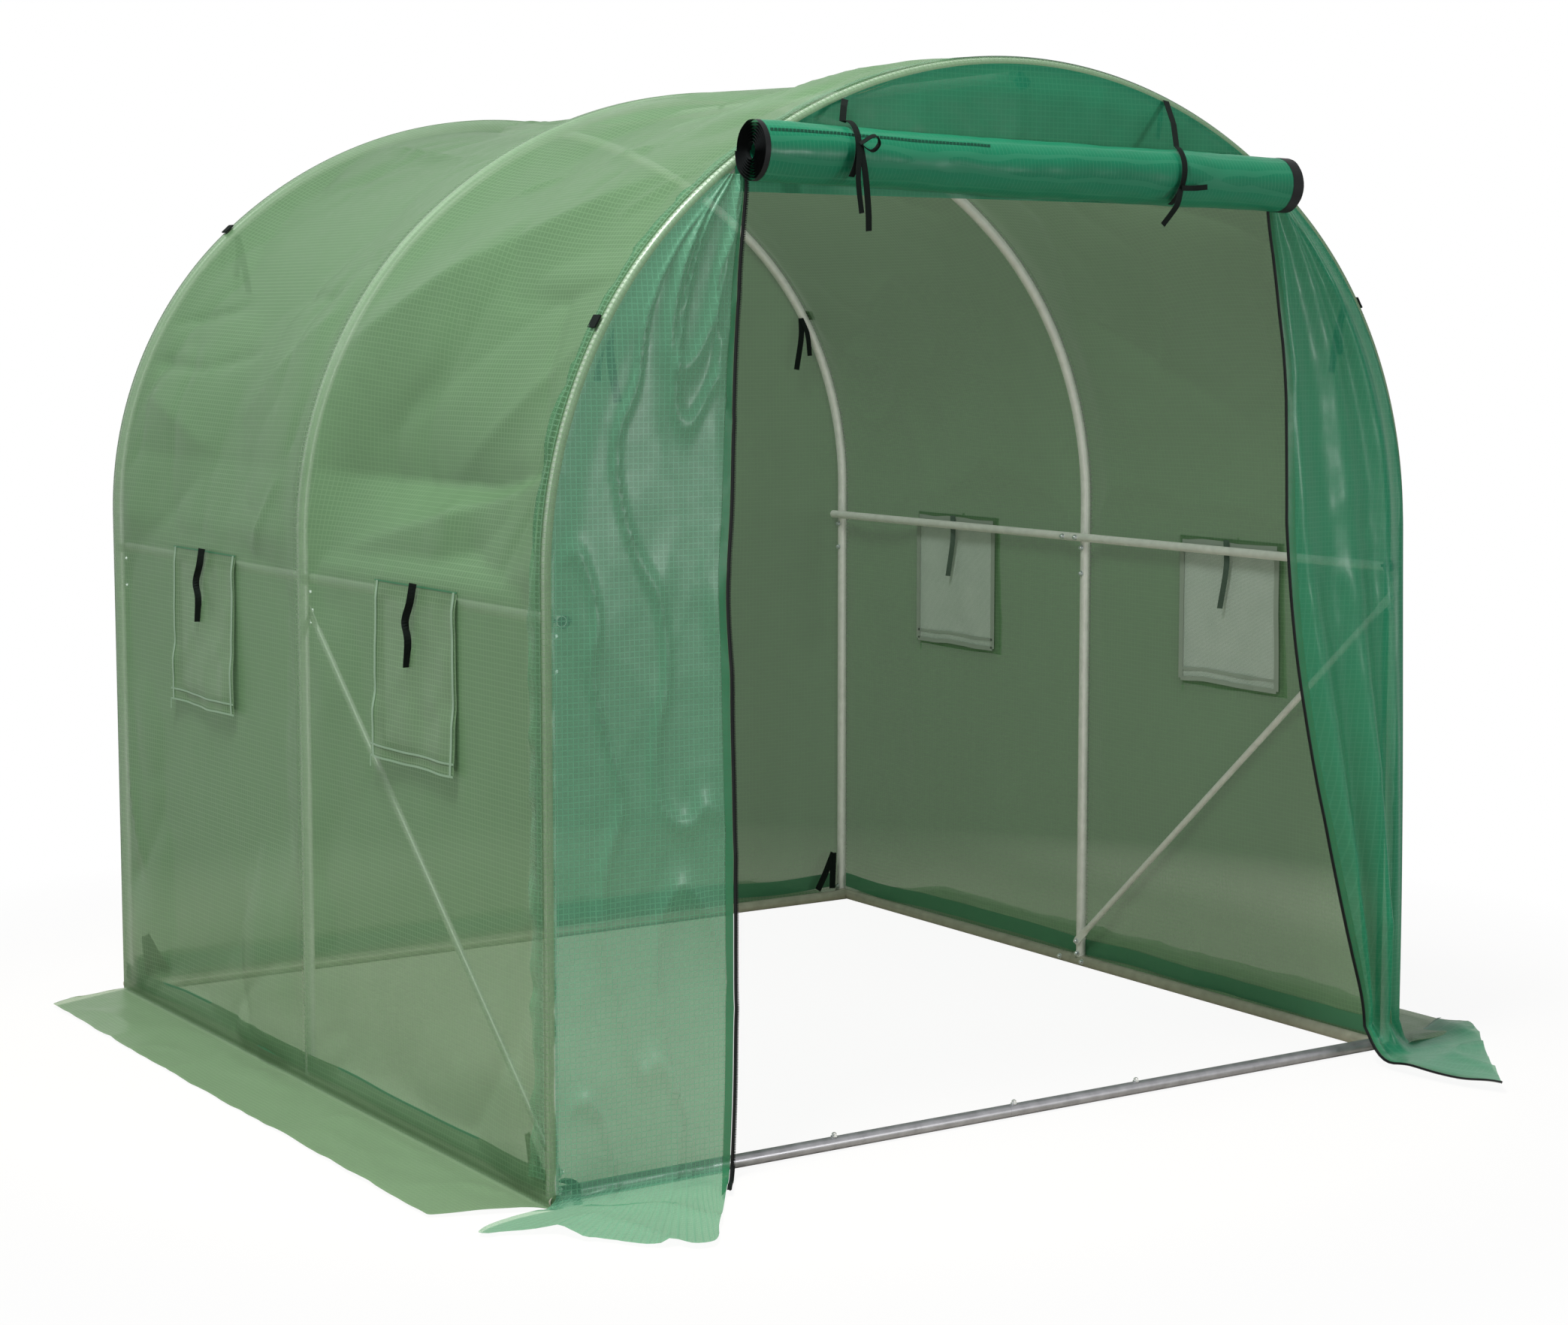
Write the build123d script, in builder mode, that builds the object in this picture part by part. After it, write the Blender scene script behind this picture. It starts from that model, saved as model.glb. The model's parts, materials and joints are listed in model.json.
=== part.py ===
from build123d import *
from math import cos, degrees, radians, sin
import os

# Polytunnel greenhouse, millimetres, +Z up.
# The origin is on the ground at the middle of the plan, +X to the right of the doorway, +Y to the rear.

# Driving dimensions of the steel frame
hoop_span = 1975.0
ridge_height = 1974.0
spring_height = 1083.0
shoulder_sweep = 48.0
bay_length = 980.0
hoop_od = 22.0
rail_od = 25.0
purlin_od = 19.0
brace_od = 14.0
tube_wall = 1.0
leg_joint_height = 955.0
purlin_above_joint = 55.0
end_rail_setback = 29.0
joint_offset = 22.0
spigot_length = 60.0
spigot_clearance = 0.2
stub_height = 40.0
brace_tab_length = 34.0
brace_tab_width = 19.0
brace_taper_length = 22.0
brace_low_height = 60.0
brace_drop_from_purlin = 62.0
seat_clearance = 0.3

# Driving dimensions of the cover
sheet_thickness = 3.0
sheet_clearance = 0.3
side_panel_width = 357.5
gable_depth = 244.0
curtain_straight_drop = 630.0
curtain_break_inset = 35.0
curtain_foot_margin = 52.5
window_width = 270.0
window_height = 270.0
window_centre_height = 868.0
window_centre_offset = 490.0
screen_lap = 15.0
screen_thickness = 1.0
flap_lap = 30.0
flap_thickness = 1.5
roll_core_radius = 10.0
roll_turn_pitch = 8.6
roll_half_turns = 11
roll_left_inset = 4.0
roll_right_inset = 30.0
roll_left_rise = 70.0
roll_right_rise = 36.0
skirt_side_width = 233.0
skirt_end_depth = 316.0
skirt_corner_cut = 75.0
skirt_rear_corner_cut = 135.0
skirt_flare = 171.0
skirt_flare_forward = 45.0
skirt_sweep = 244.0
skirt_hem_sweep = 155.0
skirt_hem_forward = 211.0
curtain_foot_forward = 192.0
curtain_foot_back = 10.0
curtain_tip_out = 30.0

os.makedirs("parts", exist_ok=True)

# Radii of the three-centred hoop, which stay tangent for any span and rise
half_span = hoop_span / 2
door_half_width = half_span - side_panel_width
arch_rise = ridge_height - spring_height
sweep_cos = cos(radians(shoulder_sweep))
sweep_sin = sin(radians(shoulder_sweep))
radius_step = (half_span - arch_rise) / (sweep_cos + sweep_sin - 1)
shoulder_radius = half_span - radius_step * sweep_cos
crown_radius = shoulder_radius + radius_step
crown_sweep = 90.0 - shoulder_sweep

# Places worked out from the driving dimensions
hoop_radius = hoop_od / 2
rail_radius = rail_od / 2
purlin_radius = purlin_od / 2
frame_end = bay_length + hoop_radius
purlin_height = leg_joint_height + purlin_above_joint
door_top = ridge_height - gable_depth
curtain_break_height = door_top - curtain_straight_drop
rail_x = half_span + hoop_radius - rail_radius
end_rail_y = bay_length - end_rail_setback
purlin_x = half_span - hoop_radius - seat_clearance - purlin_radius
ridge_purlin_z = ridge_height - hoop_radius - seat_clearance - purlin_radius
sheet_inner = hoop_radius + sheet_clearance
sheet_outer = sheet_inner + sheet_thickness
wall_outer_x = half_span + sheet_outer
end_inner_y = bay_length + sheet_inner
end_outer_y = bay_length + sheet_outer
BOTTOM = (Align.CENTER, Align.CENTER, Align.MIN)


def spigot_od(tube_od):
    """Outer diameter of a swaged end that slips inside a tube of the given size."""
    return tube_od - 2 * tube_wall - 2 * spigot_clearance


def straight_tube(start, length, tube_od, swaged):
    """A hollow tube along the normal of the start plane, with a swaged far end if asked."""
    reduced = spigot_od(tube_od)
    with BuildPart(start) as tube:
        Cylinder(tube_od / 2, length, align=BOTTOM)
        if swaged:
            with Locations((0, 0, length)):
                Cylinder(reduced / 2, spigot_length, align=BOTTOM)
            Cylinder(reduced / 2 - tube_wall, length + spigot_length, align=BOTTOM, mode=Mode.SUBTRACT)
            Cylinder(tube_od / 2 - tube_wall, length - tube_wall, align=BOTTOM, mode=Mode.SUBTRACT)
        else:
            Cylinder(tube_od / 2 - tube_wall, length, align=BOTTOM, mode=Mode.SUBTRACT)
    return tube.part


def save(part, name):
    """Label one finished piece and write it as its own file."""
    part.label = name
    export_step(part, f"parts/{name}.step")


def side_rail(side, first_y, last_y, swaged, stub_places):
    """Half of a side ground rail, with the stubs that the hoop legs slip over."""
    start = Plane(origin=(side * rail_x, first_y, rail_radius), z_dir=(0, 1, 0))
    body = straight_tube(start, last_y - first_y, rail_od, swaged)
    stub_radius = spigot_od(hoop_od) / 2
    with BuildPart() as rail:
        add(body)
        for stub_y in stub_places:
            with BuildSketch(Plane.XY.offset(rail_radius)):
                with Locations((side * half_span, stub_y)):
                    Circle(stub_radius)
            extrude(amount=rail_radius + stub_height)
            with BuildSketch(Plane.XY.offset(rail_radius)):
                with Locations((side * half_span, stub_y)):
                    Circle(stub_radius - tube_wall)
            extrude(amount=rail_radius + stub_height, mode=Mode.SUBTRACT)
        with BuildSketch(start):
            Circle(rail_radius - tube_wall)
        extrude(amount=last_y - first_y - (tube_wall if swaged else 0), mode=Mode.SUBTRACT)
    return rail.part


def end_rail(end_y, first_x, last_x, swaged):
    """Half of a front or rear ground rail, coped where it meets the side rail."""
    start = Plane(origin=(first_x, end_y, rail_radius), z_dir=(1, 0, 0))
    body = straight_tube(start, last_x - first_x, rail_od, swaged)
    with BuildPart() as rail:
        add(body)
        for side in (-1, 1):
            with BuildSketch(Plane.XZ.offset(-end_y - rail_od)):
                with Locations((side * rail_x, rail_radius)):
                    Circle(rail_radius + seat_clearance)
            extrude(amount=2 * rail_od, mode=Mode.SUBTRACT)
    return rail.part


def leg(side, hoop_y):
    """The straight lower tube of a hoop, its foot coped over the round ground rail."""
    start = Plane(origin=(side * half_span, hoop_y, rail_radius), z_dir=(0, 0, 1))
    body = straight_tube(start, leg_joint_height - rail_radius, hoop_od, False)
    with BuildPart() as tube:
        add(body)
        with BuildSketch(Plane.XZ.offset(-hoop_y - hoop_od)):
            with Locations((side * rail_x, rail_radius)):
                Circle(rail_radius + seat_clearance)
        extrude(amount=2 * hoop_od, mode=Mode.SUBTRACT)
    return tube.part


def arch(side, hoop_y, swaged_at_ridge):
    """Half of a hoop's bow: a straight start, a shoulder arc and a crown arc up to the ridge."""
    reduced = spigot_od(hoop_od)
    foot = (side * half_span, leg_joint_height)
    shoulder_centre = (side * (half_span - shoulder_radius), spring_height)
    crown_centre = (0, ridge_height - crown_radius)
    spring_angle = 0 if side > 0 else 180
    spigot_sweep = degrees(spigot_length / crown_radius)
    collar_sweep = degrees(tube_wall / crown_radius)
    bow_plane = Plane.XZ.offset(-hoop_y)
    with BuildPart() as bow:
        with BuildLine(bow_plane) as route:
            Line(foot, (side * half_span, spring_height))
            CenterArc(shoulder_centre, shoulder_radius, spring_angle, side * shoulder_sweep)
            CenterArc(crown_centre, crown_radius, spring_angle + side * shoulder_sweep, side * crown_sweep)
        with BuildSketch(Plane(origin=route.wires()[0] @ 0, z_dir=(0, 0, 1))):
            Circle(hoop_radius)
            Circle(hoop_radius - tube_wall, mode=Mode.SUBTRACT)
        sweep(path=route.wires()[0])
        # The lower end is swaged and slips into the leg.
        with BuildSketch(Plane.XY.offset(leg_joint_height)):
            with Locations((side * half_span, hoop_y)):
                Circle(hoop_radius - tube_wall / 2)
                Circle(reduced / 2 - tube_wall, mode=Mode.SUBTRACT)
        extrude(amount=tube_wall)
        with BuildSketch(Plane.XY.offset(leg_joint_height)):
            with Locations((side * half_span, hoop_y)):
                Circle(reduced / 2)
                Circle(reduced / 2 - tube_wall, mode=Mode.SUBTRACT)
        extrude(amount=-spigot_length)
        if swaged_at_ridge:
            with BuildLine(bow_plane) as collar:
                CenterArc(crown_centre, crown_radius, 90 - side * collar_sweep, side * collar_sweep)
            with BuildSketch(Plane(origin=collar.wires()[0] @ 0, z_dir=collar.wires()[0] % 0)):
                Circle(hoop_radius - tube_wall / 2)
                Circle(reduced / 2 - tube_wall, mode=Mode.SUBTRACT)
            sweep(path=collar.wires()[0])
            with BuildLine(bow_plane) as spigot:
                CenterArc(crown_centre, crown_radius, 90, side * spigot_sweep)
            with BuildSketch(Plane(origin=spigot.wires()[0] @ 0, z_dir=spigot.wires()[0] % 0)):
                Circle(reduced / 2)
                Circle(reduced / 2 - tube_wall, mode=Mode.SUBTRACT)
            sweep(path=spigot.wires()[0])
    return bow.part


def brace(side, low_y, high_y, high_z):
    """A diagonal tube whose two ends are pressed flat and bolted inside the legs."""
    tab_thickness = 2 * tube_wall
    x = side * (half_span - hoop_radius - seat_clearance - tab_thickness / 2)
    low = Vector(x, low_y, brace_low_height)
    high = Vector(x, high_y, high_z)
    length = (high - low).length
    start = Plane(origin=low, x_dir=(1, 0, 0), z_dir=high - low)
    with BuildPart() as rod:
        for eye_y, eye_z in ((low_y, brace_low_height), (high_y, high_z)):
            with BuildSketch(Plane.YZ.offset(x - tab_thickness / 2)):
                with Locations((eye_y, eye_z)):
                    Circle(brace_tab_width / 2)
            extrude(amount=tab_thickness)
        for first, way in ((0, 1), (length, -1)):
            with BuildSketch(start.offset(first)):
                Rectangle(tab_thickness, brace_tab_width)
            extrude(amount=way * brace_tab_length)
            with BuildSketch(start.offset(first + way * brace_tab_length)):
                Rectangle(tab_thickness, brace_tab_width)
            with BuildSketch(start.offset(first + way * (brace_tab_length + brace_taper_length))):
                Circle(brace_od / 2)
            loft()
        shaft = length - 2 * (brace_tab_length + brace_taper_length)
        with BuildSketch(start.offset(brace_tab_length + brace_taper_length)):
            Circle(brace_od / 2)
            Circle(brace_od / 2 - tube_wall, mode=Mode.SUBTRACT)
        extrude(amount=shaft)
    return rod.part


def end_sheet(front, left_x, right_x, low_z, curtain=False):
    """A flat end panel under the bow, between two uprights and above a level."""
    plane = Plane.XZ.offset(end_inner_y if front else -end_inner_y)
    reach = half_span + hoop_radius
    top = ridge_height + hoop_radius
    shoulder = shoulder_radius + hoop_radius
    crown = crown_radius + hoop_radius
    shoulder_x = half_span - shoulder_radius
    crown_z = ridge_height - crown_radius
    with BuildPart() as panel:
        with BuildSketch(plane):
            with BuildLine():
                Line((-reach, 0), (reach, 0))
                Line((reach, 0), (reach, spring_height))
                CenterArc((shoulder_x, spring_height), shoulder, 0, shoulder_sweep)
                CenterArc((0, crown_z), crown, shoulder_sweep, 2 * crown_sweep)
                CenterArc((-shoulder_x, spring_height), shoulder, 180 - shoulder_sweep, shoulder_sweep)
                Line((-reach, spring_height), (-reach, 0))
            make_face()
            with Locations((left_x, low_z)):
                Rectangle(right_x - left_x, top, align=(Align.MIN, Align.MIN), mode=Mode.INTERSECT)
            if curtain:
                with BuildLine():
                    upper = Line(
                        (door_half_width, top),
                        (door_half_width, door_top),
                    )
                    fall = Line(
                        upper @ 1,
                        (door_half_width + curtain_break_inset, curtain_break_height),
                    )
                    swing = TangentArc(
                        fall @ 1,
                        (half_span - curtain_foot_margin, 0),
                        tangent=fall % 1,
                    )
                    base = Line(swing @ 1, (0, 0))
                    back = Line(base @ 1, (0, top))
                    Line(back @ 1, upper @ 0)
                make_face(mode=Mode.SUBTRACT)
        extrude(amount=sheet_thickness if front else -sheet_thickness)
    return panel.part


def roof_sheet(centre, radius, first_angle, sweep_angle):
    """One strip of the roof, rolled to the bow and running the whole length."""
    inner = radius + sheet_inner
    outer = radius + sheet_outer
    with BuildPart() as strip:
        with BuildSketch(Plane.XZ.offset(-end_outer_y)):
            with BuildLine():
                low = CenterArc(centre, inner, first_angle, sweep_angle)
                high = CenterArc(centre, outer, first_angle, sweep_angle)
                Line(low @ 0, high @ 0)
                Line(low @ 1, high @ 1)
            make_face()
        extrude(amount=2 * end_outer_y)
    return strip.part


def wall_sheet(side):
    """A side wall with its two window openings cut through."""
    wall_height = spring_height - sheet_clearance
    with BuildPart() as wall:
        with BuildSketch(Plane.YZ.offset(side * (half_span + sheet_inner))):
            Rectangle(2 * end_outer_y, wall_height, align=(Align.CENTER, Align.MIN))
            with Locations(
                (-window_centre_offset, window_centre_height),
                (window_centre_offset, window_centre_height),
            ):
                Rectangle(window_width, window_height, mode=Mode.SUBTRACT)
        extrude(amount=side * sheet_thickness)
    return wall.part


def window_sheets(face_offset, lap, thickness, outwards):
    """Four like rectangles over the window openings, inside or outside the walls."""
    with BuildPart() as sheets:
        for side in (-1, 1):
            with BuildSketch(Plane.YZ.offset(side * face_offset)):
                with Locations(
                    (-window_centre_offset, window_centre_height),
                    (window_centre_offset, window_centre_height),
                ):
                    Rectangle(window_width + 2 * lap, window_height + 2 * lap)
            extrude(amount=side * outwards * thickness)
    return sheets.part


def rolled_door():
    """The door sheet wound on itself, made of half turns that grow by half the pitch."""
    outer_radius = roll_core_radius + (roll_half_turns - 1) * roll_turn_pitch / 2 + sheet_thickness
    roll_y = -(end_outer_y + sheet_clearance + outer_radius)
    first = Vector(roll_left_inset - door_half_width, roll_y, door_top + roll_left_rise)
    last = Vector(door_half_width - roll_right_inset, roll_y, door_top + roll_right_rise)
    with BuildPart() as roll:
        with BuildSketch(Plane(origin=first, x_dir=(0, -1, 0), z_dir=last - first)):
            with BuildLine():
                for turn in range(roll_half_turns):
                    centre = (turn % 2 * roll_turn_pitch / 2, 0)
                    radius = roll_core_radius + turn * roll_turn_pitch / 2
                    inner = CenterArc(centre, radius, turn % 2 * 180, 180)
                    outer = CenterArc(centre, radius + sheet_thickness, turn % 2 * 180, 180)
                    if turn == 0:
                        Line(inner @ 0, outer @ 0)
                Line(inner @ 1, outer @ 1)
            make_face()
        extrude(amount=(last - first).length)
    return roll.part


def ground_sheet(outlines):
    """Flat skirt pieces on the ground, one for each outline."""
    with BuildPart() as sheets:
        for outline in outlines:
            with BuildSketch():
                with BuildLine():
                    Polyline(outline, close=True)
                make_face()
            extrude(amount=sheet_thickness)
    return sheets.part


# Ground rails: each side and end is two tubes joined by a swaged end
for side, side_name in ((-1, "left"), (1, "right")):
    front_half = side_rail(side, -frame_end, joint_offset, True, (-bay_length, 0))
    save(front_half, f"{side_name}_rail_front")
    rear_half = side_rail(side, joint_offset + seat_clearance, frame_end, False, (bay_length,))
    save(rear_half, f"{side_name}_rail_rear")
for end_y, end_name in ((-end_rail_y, "front"), (end_rail_y, "rear")):
    save(end_rail(end_y, -rail_x, joint_offset, True), f"{end_name}_rail_left")
    save(end_rail(end_y, joint_offset + seat_clearance, rail_x, False), f"{end_name}_rail_right")

# Hoops: two legs and two half bows each
for hoop_y, hoop_name in ((-bay_length, "front"), (0.0, "middle"), (bay_length, "rear")):
    for side, side_name in ((-1, "left"), (1, "right")):
        save(leg(side, hoop_y), f"{hoop_name}_{side_name}_leg")
        save(arch(side, hoop_y, side < 0), f"{hoop_name}_{side_name}_arch")

# Purlins, inside the hoops: two at the sides and one under the ridge
for x, z, purlin_name in (
    (-purlin_x, purlin_height, "left"),
    (purlin_x, purlin_height, "right"),
    (0.0, ridge_purlin_z, "ridge"),
):
    front_start = Plane(origin=(x, -frame_end, z), z_dir=(0, 1, 0))
    save(straight_tube(front_start, frame_end + joint_offset, purlin_od, True), f"{purlin_name}_purlin_front")
    rear_start = Plane(origin=(x, joint_offset + seat_clearance, z), z_dir=(0, 1, 0))
    rear_length = frame_end - joint_offset - seat_clearance
    save(straight_tube(rear_start, rear_length, purlin_od, False), f"{purlin_name}_purlin_rear")

# Braces of the front bay, which lean opposite ways
brace_top = purlin_height - brace_drop_from_purlin
save(brace(-1, -bay_length, 0.0, brace_top), "left_brace")
save(brace(1, 0.0, -bay_length, brace_top), "right_brace")

# Cover
save(wall_sheet(-1), "left_wall_sheet")
save(wall_sheet(1), "right_wall_sheet")
shoulder_inset = half_span - shoulder_radius
seam_angle = degrees(sheet_clearance / crown_radius)
save(
    roof_sheet((-shoulder_inset, spring_height), shoulder_radius, 180, seam_angle - shoulder_sweep),
    "roof_left_sheet",
)
save(
    roof_sheet((shoulder_inset, spring_height), shoulder_radius, 0, shoulder_sweep - seam_angle),
    "roof_right_sheet",
)
save(
    roof_sheet((0, ridge_height - crown_radius), crown_radius, shoulder_sweep, 2 * crown_sweep),
    "roof_crown_sheet",
)
panel_edge = half_span + hoop_radius
save(end_sheet(False, -panel_edge, panel_edge, 0), "rear_end_sheet")
save(end_sheet(True, -door_half_width, door_half_width, door_top), "front_gable_sheet")
save(
    end_sheet(True, -panel_edge, -door_half_width - sheet_clearance, 0),
    "front_left_panel",
)
save(
    end_sheet(True, door_half_width + sheet_clearance, panel_edge, 0, curtain=True),
    "front_right_panel",
)

# Window screens inside the walls and closed flaps outside
save(
    window_sheets(half_span + hoop_radius, screen_lap, screen_thickness, -1),
    "window_screens",
)
save(
    window_sheets(wall_outer_x + sheet_clearance, flap_lap, flap_thickness, 1),
    "window_flaps",
)

# The door sheet, rolled up outside the gable and tied to the front hoop
save(rolled_door(), "door_roll")

# Skirts that lie on the ground outside the walls
skirt_x = wall_outer_x + sheet_clearance
skirt_y = end_outer_y + sheet_clearance
skirt_side_reach = wall_outer_x + skirt_side_width
skirt_end_reach = end_outer_y + skirt_end_depth
for side, side_name in ((-1, "left"), (1, "right")):
    outline = [
        (side * skirt_x, -skirt_y + skirt_corner_cut),
        (side * skirt_side_reach, -skirt_y + skirt_corner_cut),
        (side * skirt_side_reach, skirt_y - skirt_corner_cut),
        (side * skirt_x, skirt_y),
    ]
    save(ground_sheet([outline]), f"{side_name}_skirt")
front_left_skirt = [
    (-panel_edge, -skirt_y),
    (-panel_edge - skirt_flare, -skirt_y - skirt_flare_forward),
    (-door_half_width - skirt_sweep, -skirt_end_reach),
    (-door_half_width - skirt_hem_sweep, -skirt_y - skirt_hem_forward),
    (-door_half_width - sheet_clearance, -skirt_y),
]
curtain_foot_x = half_span - curtain_foot_margin
front_right_skirt = [
    (curtain_foot_x, -skirt_y),
    (curtain_foot_x - curtain_foot_back, -skirt_y - curtain_foot_forward),
    (curtain_foot_x + curtain_tip_out, -skirt_end_reach),
    (skirt_side_reach, -skirt_y),
]
save(ground_sheet([front_left_skirt, front_right_skirt]), "front_skirts")
rear_skirt = [
    (-panel_edge, skirt_y),
    (-panel_edge + skirt_rear_corner_cut, skirt_end_reach),
    (panel_edge - skirt_rear_corner_cut, skirt_end_reach),
    (panel_edge, skirt_y),
]
save(ground_sheet([rear_skirt]), "rear_skirt")
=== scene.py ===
import json
from math import cos, pi, radians, sin, tau

import bpy
import numpy as np
from mathutils import Matrix, Vector

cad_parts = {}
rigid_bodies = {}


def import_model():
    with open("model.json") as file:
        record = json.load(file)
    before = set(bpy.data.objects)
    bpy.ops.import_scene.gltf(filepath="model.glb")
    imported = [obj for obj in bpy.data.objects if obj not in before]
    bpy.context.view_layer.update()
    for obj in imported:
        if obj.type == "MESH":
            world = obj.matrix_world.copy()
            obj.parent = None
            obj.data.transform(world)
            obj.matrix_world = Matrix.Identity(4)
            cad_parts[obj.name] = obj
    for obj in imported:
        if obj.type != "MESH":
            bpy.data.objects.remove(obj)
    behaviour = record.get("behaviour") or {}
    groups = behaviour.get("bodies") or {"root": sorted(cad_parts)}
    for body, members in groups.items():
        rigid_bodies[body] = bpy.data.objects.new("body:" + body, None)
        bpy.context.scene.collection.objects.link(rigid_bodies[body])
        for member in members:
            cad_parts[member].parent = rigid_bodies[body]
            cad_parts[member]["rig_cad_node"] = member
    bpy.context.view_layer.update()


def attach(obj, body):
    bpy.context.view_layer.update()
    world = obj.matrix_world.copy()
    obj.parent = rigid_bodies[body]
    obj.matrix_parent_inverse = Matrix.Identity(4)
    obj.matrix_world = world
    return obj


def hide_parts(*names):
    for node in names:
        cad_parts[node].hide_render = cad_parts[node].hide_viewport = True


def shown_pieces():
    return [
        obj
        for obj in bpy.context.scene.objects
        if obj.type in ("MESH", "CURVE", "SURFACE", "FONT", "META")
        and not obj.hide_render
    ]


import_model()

# Sizes of the tunnel, in metres.
half_span = 0.9875
spring_height = 1.083
shoulder_radius = 0.83088
shoulder_centre = 0.15662
crown_radius = 1.06495
crown_centre = 0.90905
crown_sweep = radians(42)
shoulder_sweep = radians(48)
hoop_y = 0.98
side_skirt = 0.225
window_y = 0.49
window_z = 0.868
window_half = 0.135
# The sheet lies this far out from the middle line of a hoop's tube, and this far over the ground.
lift = 0.0128
ground_gap = 0.0025
door_top = 1.728
door_half = 0.62
front_plane = -hoop_y - lift
tape_thickness = 0.0012

# Lengths along the sheet from the ridge: to the spring of the bow, the foot of the wall and the skirt's edge.
crown_length = (crown_radius + lift) * crown_sweep
shoulder_length = (shoulder_radius + lift) * shoulder_sweep
spring = crown_length + shoulder_length
foot = spring + spring_height
reach = foot + side_skirt


class Number:
    """A number in a node tree, which takes ordinary arithmetic."""

    def __init__(self, graph, socket):
        self.graph, self.socket = graph, socket

    def __add__(self, other):
        return self.graph.math("ADD", self, other)

    def __sub__(self, other):
        return self.graph.math("SUBTRACT", self, other)

    def __rsub__(self, other):
        return self.graph.math("SUBTRACT", other, self)

    def __mul__(self, other):
        return self.graph.math("MULTIPLY", self, other)

    def __truediv__(self, other):
        return self.graph.math("DIVIDE", self, other)

    def __lt__(self, other):
        return self.graph.math("LESS_THAN", self, other)

    def __gt__(self, other):
        return self.graph.math("GREATER_THAN", self, other)

    def __mod__(self, other):
        return self.graph.math("FLOORED_MODULO", self, other)

    def sin(self):
        return self.graph.math("SINE", self)

    def cos(self):
        return self.graph.math("COSINE", self)


class Graph:
    """Adds nodes to a shader or geometry tree and wires them."""

    def __init__(self, tree):
        self.tree = tree

    def wire(self, value, socket):
        if isinstance(value, Number):
            value = value.socket
        if isinstance(value, bpy.types.NodeSocket):
            self.tree.links.new(value, socket)
        else:
            socket.default_value = value

    def math(self, operation, *values):
        node = self.tree.nodes.new("ShaderNodeMath")
        node.operation = operation
        for value, socket in zip(values, node.inputs):
            self.wire(value, socket)
        return Number(self, node.outputs[0])

    def node(self, kind, settings=(), **sockets):
        """A node of any kind: settings are its own choices, sockets its inputs by name."""
        made = self.tree.nodes.new(kind)
        for name, value in dict(settings).items():
            setattr(made, name, value)
        for name, value in sockets.items():
            wanted = name.replace("_", " ").lower()
            socket = next(s for s in made.inputs if s.enabled and s.name.lower() == wanted)
            self.wire(value, socket)
        return made

    def out(self, node, name=0):
        return Number(self, node.outputs[name])


def new_material(name):
    material = bpy.data.materials.new(name)
    material.use_nodes = True
    material.node_tree.nodes.clear()
    return material, Graph(material.node_tree)


def blend(g, factor, low, high):
    """A colour between low and high as factor goes from 0 to 1."""
    made = g.node("ShaderNodeMix", {"data_type": "RGBA"})
    for value, socket in ((factor, 0), (low, 6), (high, 7)):
        g.wire((*value, 1) if isinstance(value, (tuple, list)) else value, made.inputs[socket])
    return made.outputs[2]


def layered(g, factor, under, over):
    """Two looks mixed: over shows where factor is 1."""
    made = g.node("ShaderNodeMixShader")
    for value, socket in zip((factor, under.outputs[0], over.outputs[0]), made.inputs):
        g.wire(value, socket)
    return made


def mottle(g, scale, detail):
    """Soft random spots over the piece, from 0 to 1."""
    place = g.node("ShaderNodeTexCoord").outputs["Object"]
    return g.out(g.node("ShaderNodeTexNoise", Vector=place, Scale=scale, Detail=detail))


def weave(g, pitch, width):
    """1 on the threads of a grid over the sheet's cut, 0 between them; width is a share of the pitch."""
    split = g.node("ShaderNodeSeparateXYZ", Vector=g.node("ShaderNodeTexCoord").outputs["UV"])
    across, along = (((g.out(split, way) / pitch) % 1) < width for way in (0, 1))
    return g.math("MAXIMUM", across, along)


def cloth(name, film, thread, film_cover=0.64, thread_cover=0.76, pitch=0.01, shine=0.22, gloss=0.0):
    """Woven sheet: a film that lets light through, with a grid of closer threads laid on it."""
    material, g = new_material(name)
    bars = weave(g, pitch, 0.19)
    grain = mottle(g, 42.0, 4.0)
    taut = g.out(g.node("ShaderNodeAttribute", {"attribute_name": "taut"}), "Fac")
    tone = mottle(g, 3.5, 3.0) * 0.7 + grain * 0.3
    film_tone = blend(g, tone, [c * 0.84 for c in film], [min(1, c * 1.16) for c in film])
    height = mottle(g, 18.0, 2.0) * (1 - taut) * 0.0026 + bars * 0.0001
    bump = g.node("ShaderNodeBump", Strength=0.5, Distance=1.0, Height=height)
    face = g.node(
        "ShaderNodeBsdfPrincipled",
        Base_Color=blend(g, bars * 0.8, film_tone, thread),
        Roughness=grain * 0.2 + 0.26,
        Specular_IOR_Level=shine,
        Coat_Weight=taut * 0.7 + gloss,
        Coat_Roughness=0.12 + gloss * 0.6,
        Normal=bump.outputs[0],
    )
    through = g.node("ShaderNodeBsdfTranslucent", Color=(*film, 1), Normal=bump.outputs[0])
    clear = g.node("ShaderNodeBsdfTransparent", Color=(0.88, 0.96, 0.9, 1))
    cover = (1 - taut * 0.55) * film_cover
    whole = layered(g, bars * (thread_cover - cover) + cover, clear, layered(g, 0.2, face, through))
    g.node("ShaderNodeOutputMaterial", Surface=whole.outputs[0])
    return material


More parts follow.
